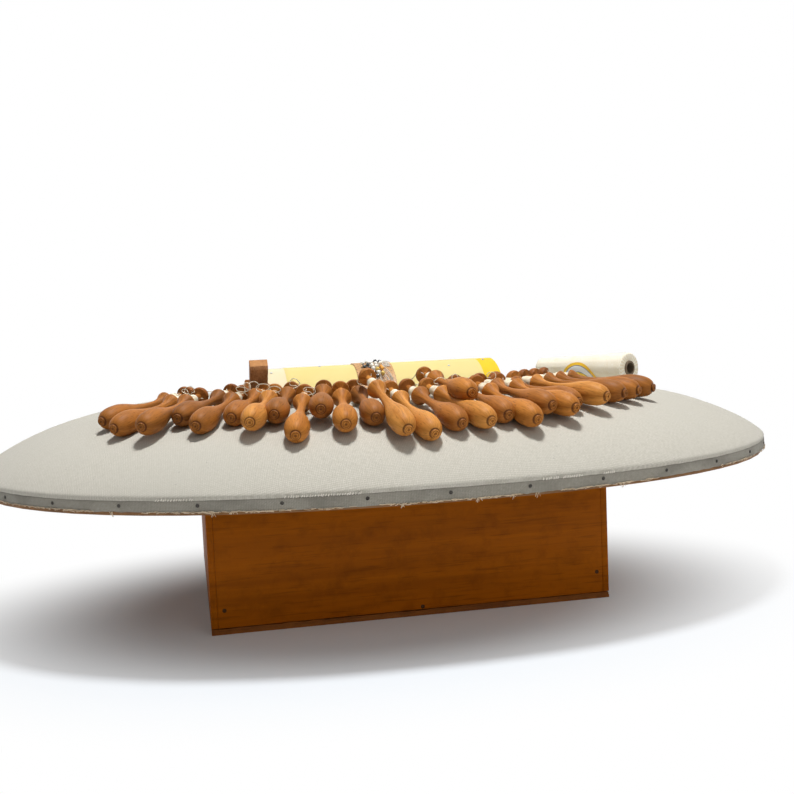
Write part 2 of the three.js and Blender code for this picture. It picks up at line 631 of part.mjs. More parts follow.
// A long pin and a small safety pin, laid on the pad to the right of the roller.
function buildLoosePins() {
  const pinX = slotRightX + 2 * longPinHeadRadius;
  const pinY = slotFrontY / 2;
  const head = new THREE.SphereGeometry(longPinHeadRadius, 10, 6);
  const shaft = new THREE.CylinderGeometry(longPinRadius, longPinRadius, longPinLength, 8);
  const pin = solidOf(shaft.translate(0, -longPinLength / 2, 0));
  const longPin = addPiece('long_pin', geometryOf(pin.add(solidOf(head))), steel);
  longPin.rotation.z = -Math.PI / 2;
  const headZ = seatHeight(pinX, pinY, longPinHeadRadius);
  longPin.position.set(pinX + longPinLength, pinY, headZ);

  const loop = new THREE.CatmullRomCurve3([
    new THREE.Vector3(0, 0, 0), new THREE.Vector3(safetyLength / 2, safetyWidth / 3, 0),
    new THREE.Vector3(safetyLength, safetyWidth / 2, 0),
    new THREE.Vector3(safetyLength, -safetyWidth / 2, 0),
    new THREE.Vector3(safetyLength / 2, -safetyWidth / 2, 0),
    new THREE.Vector3(safetyWidth / 2, -safetyWidth / 2, 0)], false);
  const section = new THREE.Shape().absarc(0, 0, safetyWireRadius, 0, 2 * Math.PI, false);
  const wire = new THREE.ExtrudeGeometry(section, { steps: 24, curveSegments: 6, extrudePath: loop });
  const safety = addPiece('safety_pin', wire, steel);
  const safetyX = slotRightX + safetyWidth;
  const safetyY = slotFrontY / 2 - 2 * safetyWidth;
  safety.position.set(safetyX, safetyY, seatHeight(safetyX, safetyY, safetyWireRadius));
  safety.rotation.z = -Math.PI / 9;
}

buildBox();
buildBaseBoard();
buildPad();
buildRimBand();
buildCheeks();
buildRoller();
buildRatchet();
buildPawl();
buildBobbins();
buildThreadTube();
buildBeadPins();
buildLoosePins();

export default lacePillow;
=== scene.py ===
"""Looks for a bobbin lace pillow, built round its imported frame.

Sizes are in metres in the frame of the solids: the origin is on the floor under the middle of the pillow,
+X runs along the front of the box to the worker's right, +Y away from the worker, and +Z up.
"""

import json
import logging
import math
import random
from dataclasses import dataclass, field
from enum import Enum
from typing import Callable, NamedTuple, Sequence

import bpy
import numpy as np
from mathutils import Matrix, Vector, noise

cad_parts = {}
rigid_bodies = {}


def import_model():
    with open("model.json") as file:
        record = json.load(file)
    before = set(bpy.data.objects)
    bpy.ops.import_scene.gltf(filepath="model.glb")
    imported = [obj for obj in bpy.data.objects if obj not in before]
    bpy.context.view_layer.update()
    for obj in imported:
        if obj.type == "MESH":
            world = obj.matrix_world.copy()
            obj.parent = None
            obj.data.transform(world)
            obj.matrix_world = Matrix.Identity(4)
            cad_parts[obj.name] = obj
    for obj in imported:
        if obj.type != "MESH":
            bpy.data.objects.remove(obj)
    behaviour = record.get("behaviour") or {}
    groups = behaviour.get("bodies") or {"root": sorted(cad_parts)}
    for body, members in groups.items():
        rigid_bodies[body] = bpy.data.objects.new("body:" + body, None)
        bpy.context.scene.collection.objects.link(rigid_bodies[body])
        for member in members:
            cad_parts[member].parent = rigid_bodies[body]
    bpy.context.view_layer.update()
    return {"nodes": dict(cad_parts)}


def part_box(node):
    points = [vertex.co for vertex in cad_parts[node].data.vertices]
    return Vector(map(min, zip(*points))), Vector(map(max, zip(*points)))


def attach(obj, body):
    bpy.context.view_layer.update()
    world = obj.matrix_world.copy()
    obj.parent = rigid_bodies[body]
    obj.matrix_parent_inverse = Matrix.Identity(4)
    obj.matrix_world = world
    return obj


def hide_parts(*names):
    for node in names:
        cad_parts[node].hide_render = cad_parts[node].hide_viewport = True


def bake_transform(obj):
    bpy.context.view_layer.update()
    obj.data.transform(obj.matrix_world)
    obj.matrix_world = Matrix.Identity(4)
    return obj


MM = 0.001
TAU = 2 * math.pi
SEED = 47
LOG = logging.getLogger("lace_pillow")

Piece = bpy.types.Object
Socket = bpy.types.NodeSocket
Path = Sequence[Vector]
Profile = Sequence[tuple[float, float]]


# Helpers


def linear(code: str) -> tuple[float, float, float, float]:
    """Turns an sRGB hex colour, with its hash, into the linear colour that the shaders use."""
    shares = [int(code[i : i + 2], 16) / 255 for i in (1, 3, 5)]
    bent = [s / 12.92 if s <= 0.04045 else ((s + 0.055) / 1.055) ** 2.4 for s in shares]
    return bent[0], bent[1], bent[2], 1.0


def feed(tree: bpy.types.NodeTree, node: bpy.types.Node, sockets: dict) -> None:
    """Sets or links a node's inputs.

    Args:
        tree: the node tree.
        node: one of its nodes.
        sockets: for each input, by name or number, a value, a hex colour or the output that feeds it.
    """
    for key, value in sockets.items():
        if isinstance(value, Socket):
            tree.links.new(value, node.inputs[key])
        else:
            node.inputs[key].default_value = linear(value) if isinstance(value, str) else value


def add_node(tree: bpy.types.NodeTree, kind: str, sockets: dict, **settings: object) -> bpy.types.Node:
    """Adds one node with its settings and with its sockets set or linked.

    Args:
        tree: the node tree of a material or of the world.
        kind: the node's type name.
        sockets: the inputs, as feed() takes them.
        settings: the node's own properties.

    Returns:
        The new node.
    """
    node = tree.nodes.new(kind)
    for key, value in settings.items():
        setattr(node, key, value)
    feed(tree, node, sockets)
    return node


def take(piece: Piece) -> None:
    """Deselects everything and then selects this piece alone."""
    bpy.ops.object.select_all(action="DESELECT")
    piece.select_set(True)
    bpy.context.view_layer.objects.active = piece


def edit(piece: Piece, *steps: Callable[[], object]) -> None:
    """Runs edit-mode steps, in this order, on all of one piece."""
    take(piece)
    bpy.ops.object.mode_set(mode="EDIT")
    bpy.ops.mesh.select_all(action="SELECT")
    for step in steps:
        step()
    bpy.ops.object.mode_set(mode="OBJECT")


def select_all() -> None:
    """Selects the whole mesh in edit mode."""
    bpy.ops.mesh.select_all(action="SELECT")


def weld() -> None:
    """Merges vertices that lie on one another."""
    bpy.ops.mesh.remove_doubles(threshold=1e-6)


def face_out() -> None:
    """Turns all faces outwards."""
    bpy.ops.mesh.normals_make_consistent(inside=False)


def apply_modifier(piece: Piece, kind: str, **settings: object) -> None:
    """Adds one modifier with its settings to a piece and applies it."""
    modifier = piece.modifiers.new(kind.title(), kind)
    for key, value in settings.items():
        setattr(modifier, key, value)
    take(piece)
    bpy.ops.object.modifier_apply(modifier=modifier.name)


def settle(piece: Piece, matrix: Matrix = Matrix.Identity(4)) -> Piece:
    """Puts a piece's place, and this further move, into its mesh, so that its object sits at the origin."""
    bpy.context.view_layer.update()
    piece.data.transform(matrix @ piece.matrix_world)
    piece.matrix_world = Matrix.Identity(4)
    return piece


def primitive(name: str, add: Callable[..., object], **settings: object) -> Piece:
    """Adds one of Blender's own meshes by its operator, under this name."""
    bpy.ops.object.select_all(action="DESELECT")
    add(**settings)
    piece = bpy.context.object
    piece.name = name
    return settle(piece)


def points_of(piece: Piece) -> np.ndarray:
    """Gives the vertices of a piece as an array of rows."""
    flat = np.zeros(len(piece.data.vertices) * 3)
    piece.data.vertices.foreach_get("co", flat)
    return flat.reshape(-1, 3)


def move_points(piece: Piece, points: Sequence) -> None:
    """Moves the vertices of a piece to new places, one row each."""
    piece.data.vertices.foreach_set("co", np.asarray(points, float).ravel())
    piece.data.update()


def long_axis(places: np.ndarray) -> tuple[np.ndarray, np.ndarray, np.ndarray]:
    """Gives the middle of some points, the direction they stretch in, and their places along it."""
    middle = places.mean(axis=0)
    axis = np.linalg.svd(places - middle)[2][0]
    return middle, axis, (places - middle) @ axis


def aimed(place: Vector, way: Vector) -> Matrix:
    """Gives the move that takes the origin to a place and turns the Z axis this way."""
    return Matrix.Translation(place) @ way.to_track_quat("Z", "Y").to_matrix().to_4x4()


def lift(height: float) -> Vector:
    """Gives a step straight up."""
    return Vector((0, 0, height))


def rough(x: float, y: float, z: float) -> float:
    """Gives smooth noise, from -1 to 1, at a place."""
    return noise.noise(Vector((x, y, z)))


def rough_round(turn: float, fineness: float, layer: float) -> float:
    """Gives smooth noise that closes on itself round the pad, finer with a larger number."""
    return rough(math.cos(turn) * fineness, math.sin(turn) * fineness, layer)


def first_map(piece: Piece) -> bpy.types.MeshUVLoopLayer:
    """Gives the UV map of a piece, a new one if it has none."""
    layers = piece.data.uv_layers
    return layers[0] if layers else layers.new(name="map")


def wrap_map(piece: Piece, radius: float) -> None:
    """Lays a UV map in metres round the Z axis of a turned piece, with its true width at this radius."""
    layer, places = first_map(piece), points_of(piece)
    for face in piece.data.polygons:
        corners = [places[vertex] for vertex in face.vertices]
        angles = [math.atan2(y, x) if math.hypot(x, y) > 1e-6 else None for x, y, _ in corners]
        known = [a for a in angles if a is not None]
        first = known[0] if known else 0.0
        near = [a if a is None else first + (a - first + math.pi) % TAU - math.pi for a in angles]
        middle = sum(a for a in near if a is not None) / max(1, len(known))
        for loop, corner, angle in zip(face.loop_indices, corners, near):
            layer.data[loop].uv = ((middle if angle is None else angle) * radius, corner[2])


def turned(name: str, profile: Profile, segments: int) -> Piece:
    """Turns a closed profile about the Z axis, as on a lathe.

    Args:
        name: the piece's name.
        profile: pairs of radius and height that run round the section.
        segments: the number of steps round the axis.

    Returns:
        The turned piece, with a UV map in metres round and along it.
    """
    piece = primitive(name, bpy.ops.mesh.primitive_circle_add, vertices=len(profile), fill_type="NOTHING")
    move_points(piece, [(radius, 0, height) for radius, height in profile])
    edit(
        piece,
        lambda: bpy.ops.mesh.spin(steps=segments, angle=TAU, center=(0, 0, 0), axis=(0, 0, 1)),
        select_all,
        weld,
        lambda: bpy.ops.mesh.delete_loose(use_verts=True, use_edges=True, use_faces=False),
        select_all,
        face_out,
    )
    wrap_map(piece, max(radius for radius, _ in profile))
    return piece


def ring(name: str, sections: Sequence[Path], size: tuple[float, float]) -> Piece:
    """Closes a row of closed sections into a ring.

    Args:
        name: the piece's name.
        sections: the section's points at each step round the ring.
        size: the UV map's width round the ring and its height along the section, in metres.

    Returns:
        The ring.
    """
    rows, columns = len(sections), len(sections[0])
    piece = primitive(
        name, bpy.ops.mesh.primitive_grid_add, x_subdivisions=columns, y_subdivisions=rows, size=1,
    )
    move_points(piece, [tuple(sections[i % rows][j % columns]) for i in range(rows + 1) for j in range(columns + 1)])
    for loop in first_map(piece).data:
        loop.uv = (loop.uv[1] * size[0], loop.uv[0] * size[1])
    edit(piece, weld, face_out)
    return piece


def strands(
    name: str, paths: Sequence[Path], radius: float, sides: int = 6, swell: Sequence[float] = (),
) -> Piece:
    """Sweeps a round section along some paths and turns them into one mesh.

    Args:
        name: the piece's name.
        paths: the points of each centre line.
        radius: the strands' radius.
        sides: the number of faces round each.
        swell: a share of the radius for each path, if they differ.

    Returns:
        The strands, closed at both ends.
    """
    curve = bpy.data.curves.new(name, "CURVE")
    curve.dimensions = "3D"
    curve.bevel_depth = radius
    curve.bevel_resolution = max(0, sides // 2 - 2)
    curve.use_fill_caps = True
    for i, path in enumerate(paths):
        line = curve.splines.new("POLY")
        line.points.add(len(path) - 1)
        for point, place in zip(line.points, path):
            point.co = (*place, 1.0)
            point.radius = swell[i] if swell else 1.0
    piece = bpy.data.objects.new(name, curve)
    bpy.context.scene.collection.objects.link(piece)
    take(piece)
    bpy.ops.object.convert(target="MESH")
    piece = bpy.context.object
    piece.name = name
    return piece


def rounded_path(keys: Path, rounds: int = 3) -> list[Vector]:
    """Cuts the corners of a line this often, so that it bends without swinging out."""
    path = [key.copy() for key in keys]
    for _ in range(rounds):
        cut = [path[0]]
        for a, b in zip(path, path[1:]):
            cut += [a.lerp(b, 0.25), a.lerp(b, 0.75)]
        path = [*cut, path[-1]]
    return path


def smooth_path(keys: Path, steps: int) -> list[Vector]:
    """Draws a smooth line through a few points, with this number of steps between two of them."""
    padded = [2 * keys[0] - keys[1], *keys, 2 * keys[-1] - keys[-2]]
    path = []
    for a, b, c, d in zip(padded, padded[1:], padded[2:], padded[3:]):
        slope, bend, twist = c - a, 2 * a - 5 * b + 4 * c - d, 3 * b - a - 3 * c + d
        path += [0.5 * (2 * b + slope * t + bend * t**2 + twist * t**3) for t in (i / steps for i in range(steps))]
    return [*path, keys[-1].copy()]


def joined(name: str, pieces: Sequence[Piece]) -> Piece:
    """Joins several meshes into one piece of this name."""
    take(pieces[0])
    for piece in pieces:
        piece.select_set(True)
    bpy.ops.object.join()
    pieces[0].name = name
    return pieces[0]


def copied(piece: Piece, name: str, matrix: Matrix) -> Piece:
    """Copies a piece with a mesh of its own and moves the copy."""
    twin = bpy.data.objects.new(name, piece.data.copy())
    bpy.context.scene.collection.objects.link(twin)
    twin.data.transform(matrix)
    return twin


def repeated(name: str, first: Piece, matrices: Sequence[Matrix]) -> Piece:
    """Puts copies of a piece at some places, as one piece of this name, and removes the first."""
    copies = [copied(first, f"{first.name}_{i}", matrix) for i, matrix in enumerate(matrices)]
    bpy.data.objects.remove(first)
    return joined(name, copies)


def dressed(
    piece: Piece,
    material: bpy.types.Material,
    body: str,
    stands_for: Sequence[str] = (),
    crease: float = 35.0,
) -> Piece:
    """Gives a new piece its material and shading, hangs it on the body that it rides on, and hides the nodes that it
    stands for.

    Args:
        piece: the finished mesh.
        material: its finish.
        body: the body of the frame that it moves with.
        stands_for: the nodes that it replaces.
        crease: edges sharper than this many degrees stay sharp.

    Returns:
        The same piece.
    """
    piece.data.materials.clear()
    piece.data.materials.append(material)
    take(piece)
    bpy.ops.object.shade_smooth_by_angle(angle=math.radians(crease))
    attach(piece, body)
    if stands_for:
        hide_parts(*stands_for)
    LOG.info("%s: %d faces on %s", piece.name, len(piece.data.polygons), body)
    return piece


def eased_copy(node: Piece, name: str, width: float, segments: int = 2) -> Piece:
    """Copies a wooden solid of the frame and eases its edges, as sanding does.

    Args:
        node: the solid in the frame.
        name: the new piece's name.
        width: how far the edges are rounded.
        segments: the number of steps in the rounding.

    Returns:
        The eased copy.
    """
    piece = copied(node, name, Matrix.Identity(4))
    edit(
        piece,
        lambda: bpy.ops.mesh.remove_doubles(threshold=1e-5),
        lambda: bpy.ops.mesh.customdata_custom_splitnormals_clear(),
        lambda: bpy.ops.mesh.dissolve_limited(angle_limit=math.radians(1)),
    )
    apply_modifier(
        piece, "BEVEL", width=width, segments=segments, limit_method="ANGLE", angle_limit=math.radians(40),
        use_clamp_overlap=True,
    )
    return piece


# Finishes


@dataclass(frozen=True)
class Nodes:
    """A node tree, with a short call for each kind of node that the finishes share."""

    tree: bpy.types.NodeTree

    def place(self, kind: str = "Object") -> Socket:
        """Gives the place in the object's coordinates, or in those of the UV map."""
        return add_node(self.tree, "ShaderNodeTexCoord", {}).outputs[kind]

    def part(self, place: Socket, axis: str) -> Socket:
        """Gives one coordinate of a place."""
        return add_node(self.tree, "ShaderNodeSeparateXYZ", {"Vector": place}).outputs[axis]

    def mapping(self, place: Socket, **sockets: object) -> Socket:
        """Gives a place turned and scaled."""
        return add_node(self.tree, "ShaderNodeMapping", {"Vector": place, **sockets}).outputs[0]

    def noise(self, place: Socket, scale: float, detail: float = 2.0, **sockets: float) -> Socket:
        """Gives cloudy noise from 0 to 1."""
        sockets = {"Vector": place, "Scale": scale, "Detail": detail, **sockets}
        return add_node(self.tree, "ShaderNodeTexNoise", sockets).outputs[0]

    def wave(self, place: Socket, period: float, sockets: dict, way: str = "X") -> Socket:
        """Gives waves with this period in metres, which the texture makes from 20 radians to its unit."""
        sockets = {"Vector": place, "Scale": TAU / (20 * period), **sockets}
        return add_node(self.tree, "ShaderNodeTexWave", sockets, bands_direction=way).outputs["Fac"]

    def number(self, operation: str, *values: object) -> Socket:
        """Gives the result of a sum on numbers."""
        return add_node(self.tree, "ShaderNodeMath", dict(enumerate(values)), operation=operation).outputs[0]

    def vector(self, operation: str, *values: object, output: str = "Vector") -> Socket:
        """Gives the result of a sum on vectors."""
        sockets = dict(enumerate(values))
        return add_node(self.tree, "ShaderNodeVectorMath", sockets, operation=operation).outputs[output]

    def ramp(
        self, value: Socket, low: float, high: float, start: float = 0.0, end: float = 1.0, **settings: str,
    ) -> Socket:
        """Maps the values from low to high to those from start to end, held at both ends."""
        sockets = {"Value": value, "From Min": low, "From Max": high, "To Min": start, "To Max": end}
        return add_node(self.tree, "ShaderNodeMapRange", sockets, **settings).outputs[0]

    def mix(self, share: Socket, a: object, b: object, kind: str = "RGBA") -> Socket:
        """Mixes two colours or, as FLOAT, two numbers."""
        sockets = {"Factor": share, "A": a, "B": b}
        return add_node(self.tree, "ShaderNodeMix", sockets, data_type=kind).outputs["Result"]

    def bump(self, height: Socket, distance: float, strength: float = 1.0, invert: bool = False) -> Socket:
        """Gives the normal of a surface with this relief."""
        sockets = {"Height": height, "Distance": distance, "Strength": strength}
        return add_node(self.tree, "ShaderNodeBump", sockets, invert=invert).outputs[0]

    def seen(self) -> Socket:
        """Gives 1 to the rays that the camera sees, straight, mirrored or through glass, and 0 to others."""
        path = add_node(self.tree, "ShaderNodeLightPath", {}).outputs
        straight_or_mirrored = self.number("MAXIMUM", path["Is Camera Ray"], path["Is Glossy Ray"])
        return self.number("MAXIMUM", straight_or_mirrored, path["Is Transmission Ray"])


class Axis(Enum):
    """The way in which a grain runs."""

    X = 0
    Y = 1
    Z = 2


@dataclass(frozen=True)
class Finish:
    """The start of every finish: a named material with one surface shader."""

    name: str

    def make(self) -> bpy.types.Material:
        """Builds the material."""
        material = bpy.data.materials.new(self.name)
        material.use_nodes = True
        tree = material.node_tree
        feed(tree, tree.nodes["Principled BSDF"], {"IOR": 1.5, **self.surface(Nodes(tree))})
        return material

    def surface(self, nodes: Nodes) -> dict[str, object]:
        """Gives a value or an output to each input of the shader that the finish sets."""
        raise NotImplementedError


@dataclass(frozen=True)
class GrainedWood(Finish):
    """Sawn, turned or planed wood: long streaks of pale and deep colour, with fine pores."""

    pale: str
    deep: str
    pore: str
    streak: float = 2.2 * MM
    length: float = 45 * MM
    pore_share: float = 0.25
    roughness: float = 0.55
    shine: float = 0.35
    relief: float = 0.05 * MM
    along: Axis = Axis.X
    mapped: bool = False
    soil: str = ""
    bands: tuple[tuple[float, float, float, str], ...] = ()

    def stretched(self, nodes: Nodes, place: Socket, across: float, along: float) -> Socket:
        """Gives a place in a space where streaks that are this much finer and shorter measure 1 each way."""
        scale = [across / self.streak] * 3
        scale[self.along.value] = along / self.length
        return nodes.mapping(place, Scale=scale)

    def surface(self, nodes: Nodes) -> dict[str, object]:
        """Gives streaks, pores, soil and bands across it: each band's middle, half width, share and colour."""
        place = nodes.place("UV" if self.mapped else "Object")
        streaks = self.stretched(nodes, place, 1, 1)
        warp = nodes.noise(streaks, 0.35, 3.0)
        grain = nodes.noise(streaks, 1.0, 5.0, Roughness=0.62, Distortion=0.6)
        colour = nodes.mix(nodes.ramp(nodes.number("ADD", warp, grain), 0.7, 1.32), self.deep, self.pale)
        pores = nodes.noise(self.stretched(nodes, place, 4, 6), 1.0)
        colour = nodes.mix(nodes.ramp(pores, 0.56, 0.72, end=self.pore_share), colour, self.pore)
        if self.soil:
            patches = nodes.noise(place, 55.0, 4.0, Roughness=0.7)
            colour = nodes.mix(nodes.ramp(patches, 0.48, 0.78, end=0.55), colour, self.soil)
        for middle, half, most, code in self.bands:
            away = nodes.number("ABSOLUTE", nodes.number("SUBTRACT", nodes.part(place, "Y"), middle))
            colour = nodes.mix(nodes.ramp(away, half, 0.7 * half, end=most), colour, code)
        return {
            "Base Color": colour,
            "Roughness": nodes.ramp(grain, 0.0, 1.0, self.roughness - 0.08, self.roughness + 0.1),
            "Normal": nodes.bump(grain, self.relief, 0.5),
            "Specular IOR Level": self.shine,
        }


@dataclass(frozen=True)
class PlainWeave(Finish):
    """Plain-woven cotton: threads over and under each other, matt, with slubs and a few dark flecks."""

    warp: str = "#d0ccc2"
    weft: str = "#b2aea1"
    fleck: str = "#6c6960"
    thread: float = 1.1 * MM
    relief: float = 0.16 * MM
    flecks: float = 0.35
    mapped: bool = False
    stain: str = "#bdbaaf"
    patch: float = 9.0
    slub: float = 420.0

    def surface(self, nodes: Nodes) -> dict[str, object]:
        """Gives the weave, worn patches and flecks. Its threads are about twice as far apart as real ones."""
        place = nodes.place("UV" if self.mapped else "Object")
        uneven = {"Distortion": 2.4, "Detail": 2.0, "Detail Scale": 0.6}
        ribs = [nodes.wave(place, self.thread, uneven, way) for way in ("X", "Y")]
        squares = add_node(nodes.tree, "ShaderNodeTexChecker", {"Vector": place, "Scale": 1 / self.thread})
        cloth = nodes.mix(squares.outputs["Fac"], *ribs, "FLOAT")
        height = nodes.number("MULTIPLY", cloth, nodes.noise(place, self.slub, 3.0))
        colour = nodes.mix(nodes.ramp(height, 0.0, 0.6), self.weft, self.warp)
        patches = nodes.noise(place, self.patch, 4.0)
        colour = nodes.mix(nodes.ramp(patches, 0.45, 0.75, end=0.5), colour, self.stain)
        specks = nodes.noise(place, self.slub, 1.0)
        return {
            "Base Color": nodes.mix(nodes.ramp(specks, 0.69, 0.8, end=self.flecks), colour, self.fleck),
            "Roughness": 0.92,
            "Normal": nodes.bump(height, self.relief, 0.7),
            "Sheen Weight": 0.15,
            "Sheen Roughness": 0.5,
        }


@dataclass(frozen=True)
class GlazedCotton(Finish):
    """Glazed cotton over the roller: pale yellow, with a cream end, a strong yellow end and a fine rib."""

    middle: str = "#dccb8a"
    left: str = "#e0d5b8"
    right: str = "#e4bf1e"
    aged: str = "#dcc060"
    left_edge: float = -76.8 * MM
    right_edge: float = 81 * MM
    weave: float = 0.9 * MM

    def surface(self, nodes: Nodes) -> dict[str, object]:
        """Gives bands across the roller, yellowed with age in patches."""
        place = nodes.place()
        across = nodes.part(place, "X")
        colour = nodes.mix(nodes.number("LESS_THAN", across, self.left_edge), self.middle, self.left)
        colour = nodes.mix(nodes.number("GREATER_THAN", across, self.right_edge), colour, self.right)
        age = nodes.noise(place, 22.0, 5.0)
        rib = nodes.wave(nodes.place("UV"), self.weave, {"Distortion": 0.6})
        return {
            "Base Color": nodes.mix(nodes.ramp(age, 0.4, 0.8, end=0.3), colour, self.aged),
            "Roughness": 0.6,
            "Specular IOR Level": 0.15,
            "Normal": nodes.bump(rib, 0.05 * MM, 0.4),
        }


@dataclass(frozen=True)
class PrickedCard(Finish):
    """Brown glazed pricking card, with the rows of pin holes that the pattern is pricked with."""

    face: str = "#c4955c"
    shade: str = "#a87840"
    hole: str = "#4a2f1a"
    spacing: float = 3.2 * MM
    hole_radius: float = 0.45 * MM

    def surface(self, nodes: Nodes) -> dict[str, object]:
        """Gives mottled card with dots in slanting rows on its UV map."""
        place = nodes.place("UV")
        face = nodes.mix(nodes.noise(place, 160.0, 5.0), self.shade, self.face)
        slanting = nodes.mapping(place, Rotation=(0, 0, math.pi / 4), Scale=[1 / self.spacing] * 3)
        cell = nodes.vector("SUBTRACT", nodes.vector("FRACTION", slanting), (0.5, 0.5, 0.0))
        away = nodes.vector("LENGTH", nodes.vector("MULTIPLY", cell, (1.0, 1.0, 0.0)), output="Value")
        dot = nodes.number("LESS_THAN", away, self.hole_radius / self.spacing)
        return {
            "Base Color": nodes.mix(dot, face, self.hole),
            "Roughness": 0.5,
            "Normal": nodes.bump(dot, 0.2 * MM, 0.6, invert=True),
        }


@dataclass(frozen=True)
class SpunThread(Finish):
    """Twisted cotton or linen thread: matt, with a fine slanting ply and a soft change of tone."""

    light: str
    shade: str
    ply: float
    relief: float = 0.12 * MM
    slant: float = 24.0

    def surface(self, nodes: Nodes) -> dict[str, object]:
        """Gives patches of thread that slants either way. The ply is drawn coarser than the real one."""
        lays = [
            nodes.wave(
                nodes.mapping(nodes.place("UV"), Rotation=(0, 0, math.radians(slant))), self.ply,
                {"Distortion": 1.2}, "Y",
            )
            for slant in (self.slant, -self.slant)
        ]
        patch = nodes.noise(nodes.place(), 130.0, 3.0)
        height = nodes.mix(nodes.number("GREATER_THAN", patch, 0.5), *lays, "FLOAT")
        tone = nodes.ramp(nodes.number("MULTIPLY", height, patch), 0.0, 0.45)
        return {
            "Base Color": nodes.mix(tone, self.shade, self.light),
            "Roughness": 0.8,
            "Normal": nodes.bump(height, self.relief, 0.8),
            "Sheen Weight": 0.2,
        }


@dataclass(frozen=True)
class DrawnSteel(Finish):
    """Drawn steel wire, bright or darkened, with fine rust and scratches in its roughness."""

    colour: str = "#b9bdc6"
    stain: str = "#7c7468"
    roughness: float = 0.3

    def surface(self, nodes: Nodes) -> dict[str, object]:
        """Gives metal with stained and rougher spots."""
        spots = nodes.noise(nodes.place(), 900.0, 3.0)
        return {
            "Base Color": nodes.mix(nodes.ramp(spots, 0.5, 0.75), self.colour, self.stain),
            "Metallic": 1.0,
            "Roughness": nodes.ramp(spots, 0.0, 1.0, self.roughness - 0.1, self.roughness + 0.25),
        }


@dataclass(frozen=True)
class GlassBead(Finish):
    """Pressed opaque glass: one clear colour, wet gloss and a faint swirl."""

    colour: str
    swirl: str

    def surface(self, nodes: Nodes) -> dict[str, object]:
        """Gives a glossy coat over the swirl."""
        swirl = nodes.noise(nodes.place(), 600.0, Distortion=1.5)
        return {
            "Base Color": nodes.mix(swirl, self.colour, self.swirl), "Roughness": 0.08, "IOR": 1.52, "Coat Weight": 0.5,
        }


@dataclass(frozen=True)
class PaperLabel(Finish):
    """Printed paper: plain rings of yellow, pale grey and blue round the middle."""

    radius: float
    rings: tuple[tuple[float, str], ...] = (
        (0.0, "#efc83c"), (0.57, "#5d6a90"), (0.6, "#e6e7e6"), (0.84, "#5d6a90"), (0.87, "#edbd2c"),
    )

    def surface(self, nodes: Nodes) -> dict[str, object]:
        """Gives each ring its colour by its distance from the middle, as a share of the radius."""
        place = nodes.place("UV")
        share = nodes.number("DIVIDE", nodes.vector("LENGTH", place, output="Value"), self.radius)
        ramp = add_node(nodes.tree, "ShaderNodeValToRGB", {"Fac": share})
        stops = ramp.color_ramp.elements
        ramp.color_ramp.interpolation = "CONSTANT"
        for i, (position, code) in enumerate(self.rings):
            stop = stops[i] if i < 2 else stops.new(position)
            stop.position = position
            stop.color = linear(code)
        fibre = nodes.noise(place, 900.0, 3.0)
        return {"Base Color": ramp.outputs["Color"], "Roughness": 0.55, "Normal": nodes.bump(fibre, 0.03 * MM)}


# Pillow


@dataclass(frozen=True)
class PadForm:
    """The oval, crowned form of the pad, as the solids have it."""

    half_width: float = 310 * MM
    half_depth: float = 234 * MM
    power: float = 2.3
    bottom: float = 109.3 * MM
    crown: float = 46.6 * MM
    lower_roll: float = 2.5 * MM
    shoulder: float = 4.36
    plumpness: float = 0.85
    slot_left: float = -116.5 * MM
    slot_right: float = 104.5 * MM
    slot_front: float = -66 * MM
    slot_back: float = 46 * MM

    def share(self, x: float, y: float) -> float:
        """Gives how far out a place is: 0 in the middle and 1 on the rim."""
        u, v = abs(x / self.half_width), abs(y / self.half_depth)
        return (u**self.power + v**self.power) ** (1 / self.power)

    def height(self, x: float, y: float) -> float:
        """Gives the height of the pad's top at a place."""
        round_share = min(1.0, self.share(x, y))
        dome = max(0.0, 1 - round_share**self.shoulder) ** self.plumpness
        return self.bottom + self.lower_roll + (self.crown - self.lower_roll) * dome

    def rim(self, turn: float) -> Vector:
        """Gives the rim's place in plan, in the direction of this angle."""
        c, s = math.cos(turn), math.sin(turn)
        reach = (abs(c) ** self.power + abs(s) ** self.power) ** (-1 / self.power)
        return Vector((self.half_width * reach * c, self.half_depth * reach * s, 0.0))

    def outward(self, turn: float) -> Vector:
        """Gives the direction square to the rim at this angle."""
        step = 1e-3
        ahead = self.rim(turn + step) - self.rim(turn - step)
        return Vector((ahead.y, -ahead.x, 0.0)).normalized()


